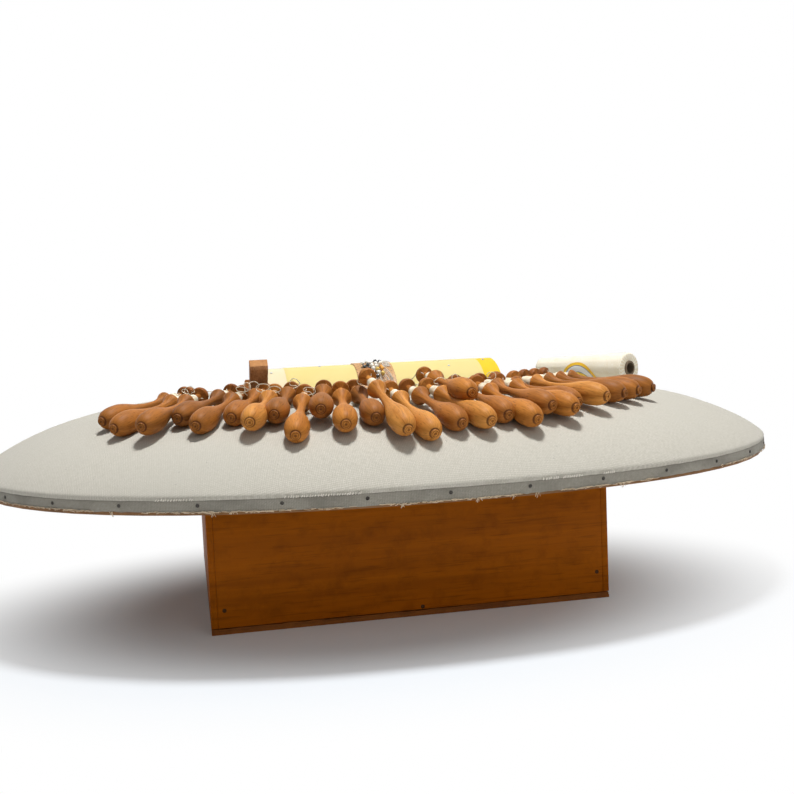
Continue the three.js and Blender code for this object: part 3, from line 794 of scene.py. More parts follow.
@dataclass
class Pad:
    """The stuffed pad in its grey cloth, drawn in at its lower edge and over the edge of the opening."""

    form: PadForm
    around: int = 320
    rows: int = 54
    tuck: float = 4 * MM
    edge_round: float = 3.5 * MM
    pucker: float = 0.55 * MM
    slot_puckers: float = 9 * MM
    rim_puckers: float = 34 * MM
    wave: float = 0.7 * MM
    fold_turn: float = -0.45
    fold_reach: float = 120 * MM
    fold_depth: float = 1.0 * MM
    bottom_shares: tuple[float, ...] = (0.0, 0.25, 0.5, 0.75, 0.93)
    roll: Profile = ((1.15, -0.4), (0.5, -0.44), (0.32, -0.1), (0.25, 0.4))
    wall_shares: tuple[float, ...] = (1.0, 0.8, 0.55, 0.3, 0.1)
    cloth: PlainWeave = PlainWeave("grey_plain_weave_cotton")

    def slot_point(self, turn: float) -> Vector:
        """Gives where a ray from the opening's middle, at this angle, leaves the opening, in plan."""
        form = self.form
        middle = Vector(((form.slot_left + form.slot_right) / 2, (form.slot_front + form.slot_back) / 2, 0))
        half = Vector(((form.slot_right - form.slot_left) / 2, (form.slot_back - form.slot_front) / 2, 0))
        c, s = math.cos(turn), math.sin(turn)
        reach = min(half.x / max(abs(c), 1e-9), half.y / max(abs(s), 1e-9))
        return middle + Vector((c, s, 0)) * reach

    def rim_point(self, turn: float) -> Vector:
        """Gives where the same ray meets the rim, in plan, by halving the way to it."""
        start = self.slot_point(turn)
        ray = Vector((math.cos(turn), math.sin(turn), 0))
        near, far = 0.0, 2 * self.form.half_width
        for _ in range(40):
            middle = (near + far) / 2
            place = start + ray * middle
            if self.form.share(place.x, place.y) < 1:
                near = middle
            else:
                far = middle
        return start + ray * near

    def section(self, turn: float) -> list[Vector]:
        """Draws the pad's closed section along one ray.

        Args:
            turn: the ray's angle.

        Returns:
            The section's points, from the opening's lower edge out and back over the top.
        """
        form = self.form
        inner, outer = self.slot_point(turn), self.rim_point(turn)
        span = (outer - inner).length
        ray = (outer - inner).normalized()
        points = [inner + ray * (span * share) + lift(form.bottom) for share in self.bottom_shares]
        points.append(inner + ray * (span - self.tuck) + lift(form.bottom))
        for inset, rise in self.roll:
            points.append(outer - ray * (inset * MM) + lift(form.bottom + form.lower_roll * rise))
        for i in range(self.rows + 1):
            t = i / self.rows
            place = inner + ray * max(self.edge_round, span * (1 - (0.35 * t + 0.65 * t * t)))
            points.append(place + lift(self.top(place, turn, (place - inner).length, span)))
        for degrees in (25, 50, 75):
            lean = math.radians(degrees)
            place = inner + ray * (self.edge_round * (1 - math.sin(lean)))
            drop = self.edge_round * (1 - math.cos(lean))
            points.append(place + lift(self.top(place, turn, self.edge_round, span) - drop))
        wall_top = form.height(inner.x, inner.y) - self.edge_round
        return points + [inner + lift(form.bottom + (wall_top - form.bottom) * share) for share in self.wall_shares]

    def top(self, place: Vector, turn: float, inside: float, span: float) -> float:
        """Gives the height of the cloth at a place: the crown less the waves, puckers and folds.

        Args:
            place: the place in plan.
            turn: the ray's angle, for folds that run outwards.
            inside: the distance from the opening.
            span: the ray's length.

        Returns:
            The height.
        """
        height = self.form.height(place.x, place.y)
        height -= self.wave * (0.5 + 0.5 * rough(place.x * 11, place.y * 11, 3.1))
        near_slot = math.exp(-inside / self.slot_puckers)
        height -= self.pucker * near_slot * (0.5 + 0.5 * rough(place.x * 160, place.y * 160, 7.7))
        near_rim = max(0.0, 1 - (span - inside) / self.rim_puckers)
        height -= self.pucker * near_rim * (1 - near_rim**6) * (0.6 + 1.2 * rough_round(turn, 17, 1.9))
        at_side = max(0.0, math.cos(turn - self.fold_turn)) ** 10
        reach = max(0.0, 1 - (span - inside) / self.fold_reach)
        height -= self.fold_depth * at_side * reach * (1 - reach) * 4 * (0.5 + rough_round(turn, 34, 6.3))
        return height

    def build(self) -> None:
        sections = [self.section(TAU * i / self.around) for i in range(self.around)]
        pad = ring("pad_cover", sections, (1.7, 0.5))
        dressed(pad, self.cloth.make(), "stand", ["cushion"], 60)


@dataclass
class Rim:
    """The band of cloth round the board, its tacks, raw edge, stray threads and stitches."""

    form: PadForm
    low: float = 103.1 * MM
    high: float = 109.6 * MM
    sag: float = 1.3 * MM
    thickness: float = 1.2 * MM
    tacks: int = 34
    tack_start: float = 0.54
    tack_radius: float = 1.2 * MM
    puff: float = 0.45 * MM
    around: int = 680
    hairs: int = 1500
    tufts: tuple[float, ...] = (243.5, 246, 264.7, 273.7, 277.5, 280.8, 292, 231)
    stitch_arcs: Profile = ((236.6, 241.5), (251.7, 260.4), (281.6, 291.2))
    section: Profile = (
        (0, 0.0), (0.9, 0.0), (1, 0.12), (1, 0.3), (1, 0.5), (1, 0.7), (1, 0.86), (0.85, 0.96), (0.5, 1.0), (0, 0.98),
        (0, 0.5),
    )
    cloth: PlainWeave = PlainWeave(
        "grey_band_cotton", warp="#a9a59a", weft="#868277", fleck="#3f3c36", thread=0.9 * MM, stain="#55534b",
        patch=38.0, mapped=True,
    )

    def tack_turns(self) -> list[float]:
        """Gives the angle of each tack, evenly spaced along the rim."""
        fine = 3600
        turns = [TAU * i / fine for i in range(fine + 1)]
        places = [self.form.rim(turn) for turn in turns]
        walked = [0.0]
        for a, b in zip(places, places[1:]):
            walked.append(walked[-1] + (b - a).length)
        wanted = [(i + self.tack_start) * walked[-1] / self.tacks for i in range(self.tacks)]
        return list(np.interp(wanted, walked, turns))

    def lower_edge(self, turn: float) -> float:
        """Gives the height of the band's lower edge, which sags at the front."""
        return self.low - self.sag * max(0.0, -math.sin(turn)) ** 5

    def build(self) -> None:
        """Builds the band and everything on it."""
        tack_turns = self.tack_turns()
        self.build_band(tack_turns)
        self.build_tacks(tack_turns)
        self.build_fray()
        self.build_stitches()

    def build_band(self, tack_turns: Sequence[float]) -> None:
        """Models the band from a ring: puffed between the tacks, drawn in at them, uneven at its edges."""
        sections = []
        for i in range(self.around):
            turn = TAU * i / self.around
            nearest = min(abs((turn - t + math.pi) % TAU - math.pi) for t in tack_turns)
            held = math.exp(-((nearest * self.form.half_width / (5 * MM)) ** 2))
            wobble, ragged = rough_round(turn, 60, 0.4), rough_round(turn, 300, 5.5)
            base, out = self.form.rim(turn), self.form.outward(turn)
            low = self.lower_edge(turn) - 0.5 * MM * (0.5 + ragged)
            high = self.high + 0.25 * MM * wobble
            section = []
            for depth_share, height_share in self.section:
                bulge = self.puff * math.sin(math.pi * height_share) * (0.4 + 0.6 * wobble - 0.9 * held)
                reach = (depth_share - 1) * self.thickness + depth_share * bulge
                section.append(base + out * reach + lift(low + (high - low) * height_share))
            sections.append(section)
        band = ring("rim_band_cloth", sections, (1.76, 0.018))
        dressed(band, self.cloth.make(), "stand", ["rim_band"], 50)

    def build_tacks(self, tack_turns: Sequence[float]) -> None:
        """Turns one domed tack and copies it round the band."""
        r = self.tack_radius
        profile = [
            (0, -0.8 * MM), (0.35 * r, -0.8 * MM), (0.4 * r, 0), (0.94 * r, 0), (r, 0.1 * r), (0.86 * r, 0.3 * r),
            (0.55 * r, 0.46 * r), (0.2 * r, 0.53 * r), (0, 0.54 * r),
        ]
        middle = lift((self.low + self.high) / 2)
        places = [aimed(self.form.rim(turn) + middle, self.form.outward(turn)) for turn in tack_turns]
        tacks = repeated("rim_tacks", turned("tack", profile, 16), places)
        iron = DrawnSteel("blued_iron_tacks", colour="#4a4744", stain="#2b2622", roughness=0.45)
        dressed(tacks, iron.make(), "stand")

    def build_fray(self) -> None:
        """Lays short raw threads along the band's lower edge, a few of them hanging longer."""
        dice = random.Random(SEED)
        turns = [(TAU * dice.random(), False) for _ in range(self.hairs)]
        turns += [(math.radians(turn + dice.uniform(-0.3, 0.3)), True) for turn in self.tufts for _ in range(6)]
        paths, swell = [], []
        for turn, hangs in turns:
            if rough_round(turn, 9, 8.8) < -0.2 and not hangs:
                continue
            out = self.form.outward(turn)
            along = Vector((-out.y, out.x, 0))
            reach = dice.uniform(0.4, 1.8) * MM if hangs else dice.uniform(1.5, 5.0) * MM
            fall = dice.uniform(1.0, 3.2) * MM if hangs else dice.uniform(-0.2, 0.7) * MM
            side = dice.choice((-1, 1))
            start = self.form.rim(turn) + out * dice.uniform(0.0, 0.4) * MM
            start += lift(self.lower_edge(turn) + dice.uniform(-0.4, 0.3) * MM)
            end = start + along * (side * reach) - lift(fall) + out * dice.uniform(-0.1, 0.7) * MM
            bow = (start + end) / 2 + lift(dice.uniform(-0.4, 0.4) * MM) + out * dice.uniform(0, 0.5) * MM
            paths.append(rounded_path([start, bow, end], 1))
            swell.append(dice.uniform(0.55, 1.0))
        fray = strands("rim_fray", paths, 0.25 * MM, 4, swell)
        thread = SpunThread("raw_cotton_fray", light="#ecdcc2", shade="#d2b690", ply=0.6 * MM)
        dressed(fray, thread.make(), "stand")

    def build_stitches(self) -> None:
        """Sews the short runs of white stitches that show over the band's top edge."""
        dice = random.Random(SEED + 1)
        paths = []
        for first, last in self.stitch_arcs:
            count = int((last - first) * 3.4)
            for i in range(count):
                turn = math.radians(first + (last - first) * (i + dice.uniform(-0.25, 0.25)) / count)
                if rough(turn * 40, 2.7, 0.3) < -0.28:
                    continue
                out = self.form.outward(turn)
                along = Vector((-out.y, out.x, 0))
                foot = self.form.rim(turn) + out * 0.3 * MM + lift(self.high - dice.uniform(0.1, 0.4) * MM)
                lean = lift(dice.uniform(0.9, 1.5) * MM)
                head = foot + along * dice.uniform(0.3, 0.9) * MM + lean - out * 0.15 * MM
                paths.append([foot, (foot + head) / 2 + out * 0.35 * MM, head])
        stitches = strands("rim_stitches", paths, 0.36 * MM, 5)
        thread = SpunThread("white_sewing_cotton", light="#f3efe6", shade="#d8d2c4", ply=0.6 * MM)
        dressed(stitches, thread.make(), "stand")


# Box stand


@dataclass
class BoxStand:
    """The varnished box: eased boards, dark joint lines, and nails in the front."""

    nodes: dict[str, Piece]
    ease: float = 0.35 * MM
    swell: float = 1.0016
    front: float = -129.5 * MM
    nail_radius: float = 1.5 * MM
    nail_places: Profile = ((-136.5, 17), (136.8, 20), (4, 6.5))
    chip_depth: float = 1.3 * MM
    chip_inset: float = 0.5 * MM
    varnish: GrainedWood = GrainedWood(
        "varnished_beech_box", pale="#b06002", deep="#954f00", pore="#4c2500", streak=5 * MM, length=150 * MM,
        pore_share=0.35, roughness=0.5, shine=0.08, relief=0.04 * MM, soil="#643200",
    )
    raw_edge: GrainedWood = GrainedWood(
        "varnished_plywood_bottom", pale="#9b6028", deep="#70401a", pore="#3c200c", streak=1.1 * MM, length=26 * MM,
        pore_share=0.6, roughness=0.6, shine=0.15, soil="#4a2810",
    )
    plywood: GrainedWood = GrainedWood(
        "birch_plywood_board", pale="#9c7248", deep="#6e4b2c", pore="#432a18", streak=3 * MM, length=60 * MM,
        pore_share=0.3, roughness=0.62,
    )

    def build(self) -> None:
        """Builds the boards and the nails, and dresses the oval board."""
        varnish = self.varnish.make()
        for node in ("box_front_panel", "box_back_panel", "box_left_side", "box_right_side"):
            piece = eased_copy(self.nodes[node], f"{node}_board", self.ease)
            if "panel" in node:
                piece.data.transform(Matrix.Scale(self.swell, 4, (1, 0, 0)))
            dressed(piece, varnish, "stand", [node])
        self.build_bottom()
        self.nodes["base_board"].data.materials[0] = self.plywood.make()
        self.build_nails()

    def build_bottom(self) -> None:
        """Models the thin bottom board with the small chips along its upper front edge."""
        low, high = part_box("box_bottom")
        size = high - low
        bottom = primitive(
            "box_bottom_board", bpy.ops.mesh.primitive_cube_add, size=1, location=(low + high) / 2, scale=size,
        )
        edit(bottom, lambda: bpy.ops.mesh.subdivide(number_cuts=90))
        places = points_of(bottom)
        for place, (x, y, z) in zip(places, places.copy()):
            at_end, at_side = abs(abs(x) - high.x) < 1e-6, abs(abs(y) - high.y) < 1e-6
            upper = (z - low.z) / size.z
            chip = max(0.0, rough(x * 150, y * 150, 2.2) + 0.15)
            if (at_end or at_side) and upper > 0.5:
                place[2] -= self.chip_depth * chip * upper
                place[0] -= math.copysign(self.chip_inset, x) * chip * at_end
                place[1] -= math.copysign(self.chip_inset, y) * chip * at_side
        move_points(bottom, places)
        dressed(bottom, self.raw_edge.make(), "stand", ["box_bottom"], 25)

    def build_nails(self) -> None:
        """Sets the small nail heads in the front panel."""
        r = self.nail_radius
        profile = [
            (0, -1.2 * MM), (0.5 * r, -1.2 * MM), (0.5 * r, -0.1 * MM), (r, -0.1 * MM), (r, 0.08 * MM),
            (0.9 * r, 0.16 * MM), (0.45 * r, 0.12 * MM), (0.4 * r, 0.02 * MM), (0, 0.02 * MM),
        ]
        forward = Matrix.Rotation(math.pi / 2, 4, "X")
        places = [Matrix.Translation((x * MM, self.front, z * MM)) @ forward for x, z in self.nail_places]
        nails = repeated("panel_nails", turned("nail", profile, 18), places)
        iron = DrawnSteel("rusted_iron_nails", colour="#4b3220", stain="#2a1a10", roughness=0.6)
        dressed(nails, iron.make(), "stand")


# Roller


@dataclass
class Roller:
    """The pattern roller: wood, glazed cloth, pricked card, lace, working threads and bead-headed pins."""

    nodes: dict[str, Piece]
    axis_y: float = -10 * MM
    axis_z: float = 131 * MM
    left: float = -92.7 * MM
    right: float = 95.3 * MM
    cloth_radius: float = 45.8 * MM
    card_inner: float = 46.1 * MM
    card_outer: float = 46.7 * MM
    card_middle: float = -6 * MM
    card_half: float = 15 * MM
    lace_middle: float = 2 * MM
    lace_half: float = 5.5 * MM
    lace_rise: float = 0.5 * MM
    lace_pitch: float = 12.0
    crossings: int = 5
    thread_radius: float = 0.2 * MM
    work_front: float = 68.0
    work_back: float = 189.0
    thread_leave: float = 32.0
    bead_radius: float = 1.6 * MM
    bead_rise: float = 3.4 * MM
    wood: GrainedWood = GrainedWood("bare_pine", pale="#d3ad7a", deep="#b58651", pore="#7c5730", roughness=0.6)
    wheel_wood: GrainedWood = GrainedWood(
        "sawn_beech_wheel", pale="#c8975f", deep="#a87443", pore="#6a4424", along=Axis.Z, roughness=0.58,
    )
    pawl_wood: GrainedWood = GrainedWood(
        "worn_beech_pawl", pale="#bd875a", deep="#8e603b", pore="#3f2715", streak=1.6 * MM, length=26 * MM,
        pore_share=0.6, roughness=0.6, shine=0.15, along=Axis.Z, soil="#5f3c1e",
    )
    end_grain: GrainedWood = GrainedWood(
        "worn_beech_end_grain", pale="#c28a52", deep="#a9713e", pore="#83542b", streak=1.4 * MM, length=1.8 * MM,
        pore_share=0.4, roughness=0.6, shine=0.15,
    )
    bead_order: tuple[str, ...] = ("black", "white", "white", "black", "white", "black", "black", "amber")
    more_beads: tuple[tuple[float, float, str], ...] = (
        (-15.2, 70.5, "white"), (-11.4, 66.5, "black"), (-8.2, 70.0, "white"), (-8.3, 65.0, "white"),
        (-4.8, 69.0, "white"), (-4.9, 63.8, "white"), (-1.2, 72.0, "black"), (-1.6, 62.0, "amber"),
        (-11.3, 61.0, "black"), (-14.3, 57.5, "green"), (-11.2, 55.6, "white"), (-8.0, 54.3, "black"),
        (-4.8, 58.6, "yellow"), (-4.7, 53.6, "white"), (-1.4, 52.3, "yellow"), (-14.4, 52.0, "white"),
    )
    cloth_pins: Profile = ((-87.5, 70), (-48, 84), (55, 66), (86, 78))

    def lay_down(self) -> Matrix:
        """Gives the turn that lays a piece, turned about Z, along the roller's axis."""
        return Matrix.Translation((0, self.axis_y, self.axis_z)) @ Matrix.Rotation(math.pi / 2, 4, "Y")

    def on_roller(self, x: float, degrees: float, radius: float) -> Vector:
        """Gives a place on the roller.

        Args:
            x: the place along the axis.
            degrees: the angle above the front of the roller.
            radius: the distance from the axis.

        Returns:
            The place in the frame.
        """
        turn = math.radians(degrees)
        return Vector((x, self.axis_y - radius * math.cos(turn), self.axis_z + radius * math.sin(turn)))

    def from_axis(self, place: Vector) -> Vector:
        """Gives the step from the roller's axis to a place."""
        return place - Vector((place.x, self.axis_y, self.axis_z))

    def build(self) -> None:
        """Builds all pieces of the roller and its ratchet."""
        wood = self.wood.make()
        for node in ("roller_core", "roller_axle"):
            self.nodes[node].data.materials[0] = wood
        for node in ("roller_cheek_left", "roller_cheek_right"):
            dressed(eased_copy(self.nodes[node], f"{node}_board", 0.8 * MM), wood, "stand", [node])
        wheel = eased_copy(self.nodes["ratchet_wheel"], "ratchet_wheel_toothed", 0.35 * MM)
        dressed(wheel, self.wheel_wood.make(), "roller", ["ratchet_wheel"])
        self.build_pawl()
        self.nodes["pawl_pin"].data.materials[0] = DrawnSteel("drawn_steel_pawl_pin").make()
        self.build_cloth()
        self.build_card()
        linen = SpunThread("white_lace_linen", light="#f7f3ea", shade="#ded7c6", ply=0.6 * MM).make()
        self.build_lace(linen)
        self.build_working_threads(linen)
        self.build_pins()

    def build_pawl(self) -> None:
        """Eases the pawl's edges and shows end grain on its top."""
        pawl = eased_copy(self.nodes["pawl"], "pawl_lever", 1.3 * MM, 4)
        dressed(pawl, self.pawl_wood.make(), "pawl", ["pawl"])
        pawl.data.materials.append(self.end_grain.make())
        top = max(corner.co.z for corner in pawl.data.vertices) - 9 * MM
        for face in pawl.data.polygons:
            if face.normal.z > 0.45 and face.center.z > top:
                face.material_index = 1

    def build_cloth(self) -> None:
        """Wraps the glazed cloth round the core, with its hems and the edges of its layers."""
        r = self.cloth_radius
        inner, corner, hem, edge = r - 1.6 * MM, r - 0.9 * MM, r - 0.3 * MM, r - 0.28 * MM
        profile = [
            (inner, self.left), (corner, self.left), (hem, self.left + 0.5 * MM), (hem, -77.4 * MM),
            (edge, -77 * MM), (r, -76.6 * MM),
        ]
        profile += [(r - 0.12 * MM * abs(rough(x, 0.3, 0.7)), x * MM) for x in range(-72, 80, 6)]
        profile += [
            (r, 80.8 * MM), (edge, 81.2 * MM), (hem, 82 * MM), (hem, self.right - 0.5 * MM), (corner, self.right),
            (inner, self.right),
        ]
        cloth = settle(turned("roller_cloth", profile, 96), self.lay_down())
        dressed(cloth, GlazedCotton("glazed_yellow_cotton").make(), "roller", ["roller_cover"], 40)

    def build_card(self) -> None:
        """Wraps the pricking round the cloth."""
        low, high = self.card_middle - self.card_half, self.card_middle + self.card_half
        inner, outer = self.card_inner, self.card_outer
        edge = 0.15 * MM
        profile = [(inner, low), (outer - edge, low), (outer, low + edge)]
        profile += [(outer, low + (high - low) * i / 8) for i in range(1, 8)]
        profile += [(outer, high - edge), (outer - edge, high), (inner, high)]
        card = settle(turned("pricking_card", profile, 96), self.lay_down())
        dressed(card, PrickedCard("glazed_pricking_card").make(), "roller", ["pricking"], 40)

    def build_lace(self, linen: bpy.types.Material) -> None:
        """Plaits the lace made so far: threads that cross between its edges, and two at each edge."""
        radius = self.card_outer + self.lace_rise
        low, high = self.lace_middle - self.lace_half, self.lace_middle + self.lace_half
        steps = 170
        turns = [self.work_front + k * (self.work_back - self.work_front) / (steps - 1) for k in range(steps)]
        paths = []
        for i in range(self.crossings * 2):
            path = []
            for k, degrees in enumerate(turns):
                phase = (degrees / self.lace_pitch + i / self.crossings) % 2
                sweep = phase if phase <= 1 else 2 - phase
                rise = 0.12 * MM * math.sin(k * 1.1 + i * 2.3)
                path.append(self.on_roller(low + 0.8 * MM + (high - low - 1.6 * MM) * sweep, degrees, radius + rise))
            paths.append(path)
        for edge in (low + 0.4 * MM, low + 1.4 * MM, high - 1.4 * MM, high - 0.4 * MM):
            paths.append([
                self.on_roller(edge + 0.25 * MM * math.sin(k * 1.4), turn, radius + 0.1 * MM * math.cos(k * 1.4))
                for k, turn in enumerate(turns)
            ])
        lace = strands("made_lace_net", paths, self.thread_radius, 5)
        dressed(lace, linen, "roller", ["made_lace"], 60)

    def build_working_threads(self, linen: bpy.types.Material) -> None:
        """Lays the working threads in front of the lace."""
        radius = self.card_outer + self.lace_rise
        low, width = self.lace_middle - self.lace_half, 2 * self.lace_half
        dice = random.Random(SEED + 2)
        paths = []
        count, steps = 12, 20
        for i in range(count):
            start = low - 6 * MM + width * i / (count - 1)
            end = low - 3 * MM + (width + 5 * MM) * i / (count - 1) + dice.uniform(-0.8, 0.8) * MM
            paths.append([
                self.on_roller(
                    start + (end - start) * k / steps + 0.4 * MM * math.sin(k * 0.5 + i),
                    self.work_front + 2 - (self.work_front - self.thread_leave) * k / steps,
                    radius + 0.1 * MM + 0.15 * MM * math.sin(k * 0.9 + i * 1.7),
                )
                for k in range(steps + 1)
            ])
        dressed(strands("working_threads", paths, self.thread_radius, 5), linen, "roller", (), 60)

    def build_pins(self) -> None:
        """Sets the bead-headed pins in the card and the flat-headed pins that hold the cloth."""
        colours = {
            "black": ("#141416", "#26262a"), "white": ("#fffdf6", "#f4f0e4"), "amber": ("#e08a1c", "#f0b23a"),
            "green": ("#b9c79a", "#9fb07c"), "yellow": ("#e9b93c", "#f4d674"),
        }
        glass = {name: GlassBead(f"{name}_pressed_glass", *pair).make() for name, pair in colours.items()}
        pins = [(self.bead_place(f"bead_pin_{i + 1}"), colour) for i, colour in enumerate(self.bead_order)]
        height = self.card_outer + self.bead_rise
        pins += [(self.on_roller(x * MM, degrees, height), colour) for x, degrees, colour in self.more_beads]
        for i, (bead, colour) in enumerate(pins):
            stands_for = [f"bead_pin_{i + 1}"] if i < len(self.bead_order) else ()
            self.build_bead_pin(f"bead_headed_pin_{i + 1}", bead, glass[colour], stands_for)
        profile = [
            (0, -0.6 * MM), (0.3 * MM, -0.6 * MM), (0.3 * MM, 0), (1.0 * MM, 0.05 * MM), (0.9 * MM, 0.45 * MM),
            (0.4 * MM, 0.62 * MM), (0, 0.65 * MM),
        ]
        heads = [self.on_roller(x * MM, degrees, self.cloth_radius) for x, degrees in self.cloth_pins]
        places = [aimed(head, self.from_axis(head).normalized()) for head in heads]
        steel = DrawnSteel("nickel_plated_pins", colour="#c9c9c6", stain="#8a7f6a").make()
        dressed(repeated("cloth_pins", turned("pin_head", profile, 14), places), steel, "roller")

    def bead_place(self, node: str) -> Vector:
        """Finds the middle of a pin's bead in the frame, from the outer end of its node."""
        places = points_of(self.nodes[node])
        away = np.hypot(places[:, 1] - self.axis_y, places[:, 2] - self.axis_z)
        return Vector(places[away > away.max() - 2 * self.bead_radius].mean(axis=0))

    def build_bead_pin(
        self, name: str, bead: Vector, glass: bpy.types.Material, stands_for: Sequence[str],
    ) -> None:
        """Turns one pin with its bead and sets it square to the roller.

        Args:
            name: the pin's name.
            bead: the middle of its bead.
            glass: the bead's finish.
            stands_for: the node that it replaces, if any.
        """
        r = self.bead_radius
        out = self.from_axis(bead)
        foot = out.length - self.card_outer - 0.1 * MM
        profile = [(0, -foot), (0.3 * MM, -foot), (0.3 * MM, -0.95 * r)]
        leans = [math.radians(degrees) for degrees in (-65, -45, -22, 0, 22, 45, 65)]
        profile += [(r * math.cos(lean), r * math.sin(lean)) for lean in leans]
        profile += [(0.28 * r, 0.93 * r), (0.2 * r, 0.9 * r), (0, 0.9 * r)]
        pin = settle(turned(name, profile, 16), aimed(bead, out.normalized()))
        dressed(pin, glass, "roller", stands_for, 50)


# Bobbins


class Tone(Enum):
    """The colours of the turned bobbins, from pale to dark, as pale, deep and soiled."""

    HONEY = ("#dc9a4c", "#ae6b28", "#9a5a1e")
    AMBER = ("#cf883c", "#9c5d1f", "#88501b")
    BROWN = ("#be7a36", "#88501d", "#764419")
    RUSSET = ("#b3702f", "#7a4a1b", "#693e18")
    DARK = ("#a3662b", "#683d17", "#5a3416")


class Loop(NamedTuple):
    """A slack loop: its bobbin, its place along and across it, and its half width and height, in mm."""

    bobbin: int
    along: float
    across: float
    wide: float
    tall: float


@dataclass
class Bobbins:
    """Turned bobbins with thread on their spools, and the threads that run to the lace."""

    nodes: dict[str, Piece]
    form: PadForm
    roller: Roller
    segments: int = 32
    thread_diameter: float = 0.6 * MM
    thread_meets: float = 34.0
    thread_rise: float = 1.35 * MM
    tones: tuple[Tone, ...] = (
        Tone.RUSSET, Tone.BROWN, Tone.RUSSET, Tone.DARK, Tone.RUSSET, Tone.BROWN, Tone.HONEY, Tone.RUSSET, Tone.AMBER,
        Tone.RUSSET, Tone.AMBER, Tone.RUSSET, Tone.HONEY, Tone.HONEY, Tone.BROWN, Tone.HONEY, Tone.AMBER, Tone.BROWN,
        Tone.AMBER, Tone.BROWN, Tone.AMBER, Tone.BROWN, Tone.HONEY, Tone.RUSSET, Tone.BROWN, Tone.RUSSET,
    )
    bodies: dict[str, str] = field(
        default_factory=lambda: {
            "bobbin_10": "pair_one_left", "bobbin_11": "pair_one_right", "bobbin_13": "pair_two_left",
            "bobbin_14": "pair_two_right",
        }
    )
    loops: tuple[tuple[int, float, float, float, float], ...] = (
        (2, 78, 5, 4, 2.2), (3, 80, -3, 3, 2.8), (5, 76, 4, 4.2, 2.4), (5, 82, 7, 3, 3.2), (6, 77, -4, 3.4, 3),
        (7, 78, -6, 4.5, 2.6), (7, 74, 3, 5.2, 2.2), (8, 80, 4, 4, 3.2), (9, 76, 4, 4.6, 2.4), (12, 80, 4, 3, 3.2),
        (16, 78, 4, 3.6, 2.8), (18, 79, -5, 3.4, 3), (20, 80, 4, 3, 2.6),
    )
    wood_keys: Profile = (
        (0, 0.8), (0.7, 0.75), (0.9, 0.25), (1.3, 0.1), (1.75, 0.1), (1.95, 0.4), (2.1, 0.35), (2.3, 0.05), (2.7, 0.1),
        (2.95, 0.4), (3.0, 0.95), (2.75, 1.3), (2.65, 1.5), (2.9, 1.7), (3.6, 1.9), (4.5, 2.3), (5.6, 3.4),
        (6.6, 5.0), (7.3, 6.9), (7.85, 9.3), (8.2, 12), (8.35, 15.5), (8.3, 19), (7.8, 22.5), (7.0, 26.2), (6.0, 30),
        (5.0, 34), (4.1, 38.2), (3.4, 43), (2.9, 48), (2.7, 52), (2.8, 55.5), (3.2, 58.5), (3.9, 60.8), (4.9, 62.8),
        (5.9, 64.3), (6.6, 65.5), (6.9, 66.6), (6.75, 67.3), (6.0, 67.5), (5.5, 67.1), (4.7, 67.1), (4.4, 67.5),
        (2.9, 67.8), (2.5, 74), (2.4, 81), (2.3, 86.4), (3.0, 86.8), (4.9, 87.0), (6.1, 87.5), (6.45, 88.6),
        (6.4, 90.0), (5.9, 91.6), (4.8, 93.2), (3.2, 94.5), (1.5, 95.2), (0, 95.4),
    )
    # Bands along each bobbin, as middle, half width, share and colour: painted shade in the scored grooves at the tip,
    # and a darker band over the head.
    groove_shade_and_head_bands: tuple[tuple[float, float, float, str], ...] = (
        (1.5 * MM, 0.5 * MM, 0.75, "#4a2610"), (0.38 * MM, 0.16 * MM, 0.7, "#4a2610"),
        (0.8 * MM, 0.25 * MM, 0.5, "#3c200e"), (92 * MM, 5.6 * MM, 0.5, "#7a4018"),
    )

    def pose(self, node: str) -> tuple[Vector, Vector]:
        """Finds how a bobbin lies in the frame.

        Args:
            node: the bobbin's node.

        Returns:
            The tip of its bulb and the direction from there to its head.
        """
        places = points_of(self.nodes[node])
        middle, axis, along = long_axis(places)
        spread = np.linalg.norm((places - middle) - np.outer(along, axis), axis=1)
        near_low = spread[along < along.min() + 20 * MM].max()
        near_high = spread[along > along.max() - 20 * MM].max()
        if near_low < near_high:
            along = -along
        tip, head = places[along.argmin()], places[along.argmax()]
        return Vector(tip), Vector(head - tip).normalized()

    def wood(self, tone: Tone) -> bpy.types.Material:
        """Makes the polished wood of one tone, with painted shade in the scored grooves at its tip and a darker band
        over its head.
        """
        pale, deep, soil = tone.value
        return GrainedWood(
            f"polished_{tone.name.lower()}_beech", pale=pale, deep=deep, pore="#3f220f", streak=3.2 * MM,
            length=34 * MM, pore_share=0.55, roughness=0.5, shine=0.16, relief=0.03 * MM, along=Axis.Y, mapped=True,
            soil=soil, bands=self.groove_shade_and_head_bands,
        ).make()

    def build(self) -> None:
        """Builds every bobbin with its thread."""
        woods = {tone: self.wood(tone) for tone in Tone}
        thread = SpunThread("cream_bobbin_thread", light="#fbf3df", shade="#e6d7b8", ply=0.8 * MM, slant=4).make()
        wood = turned("bobbin_pattern", [(r * MM, h * MM) for r, h in self.wood_keys], self.segments)
        spool = turned("spool_pattern", self.spool_profile(), 20)
        dice = random.Random(SEED + 3)
        poses = [self.pose(f"bobbin_{i + 1:02d}") for i in range(len(self.tones))]
        for i, (tone, (tip, way)) in enumerate(zip(self.tones, poses)):
            node = f"bobbin_{i + 1:02d}"
            matrix = aimed(tip, way) @ Matrix.Rotation(dice.uniform(0, 6), 4, "Z")
            body = self.bodies.get(node, "stand")
            dressed(copied(wood, f"turned_{node}", matrix), woods[tone], body, [node], 42)
            dressed(copied(spool, f"spool_thread_{i + 1:02d}", matrix), thread, body, (), 50)
            lean = math.radians(dice.uniform(-120, 120))
            self.build_thread(i, i / (len(self.tones) - 1), (tip, way), body, thread, lean)
        for i, loop in enumerate(self.loops):
            self.build_loop(i, Loop(*loop), poses[loop[0] - 1], thread)
        for pattern in (wood, spool):
            bpy.data.objects.remove(pattern)

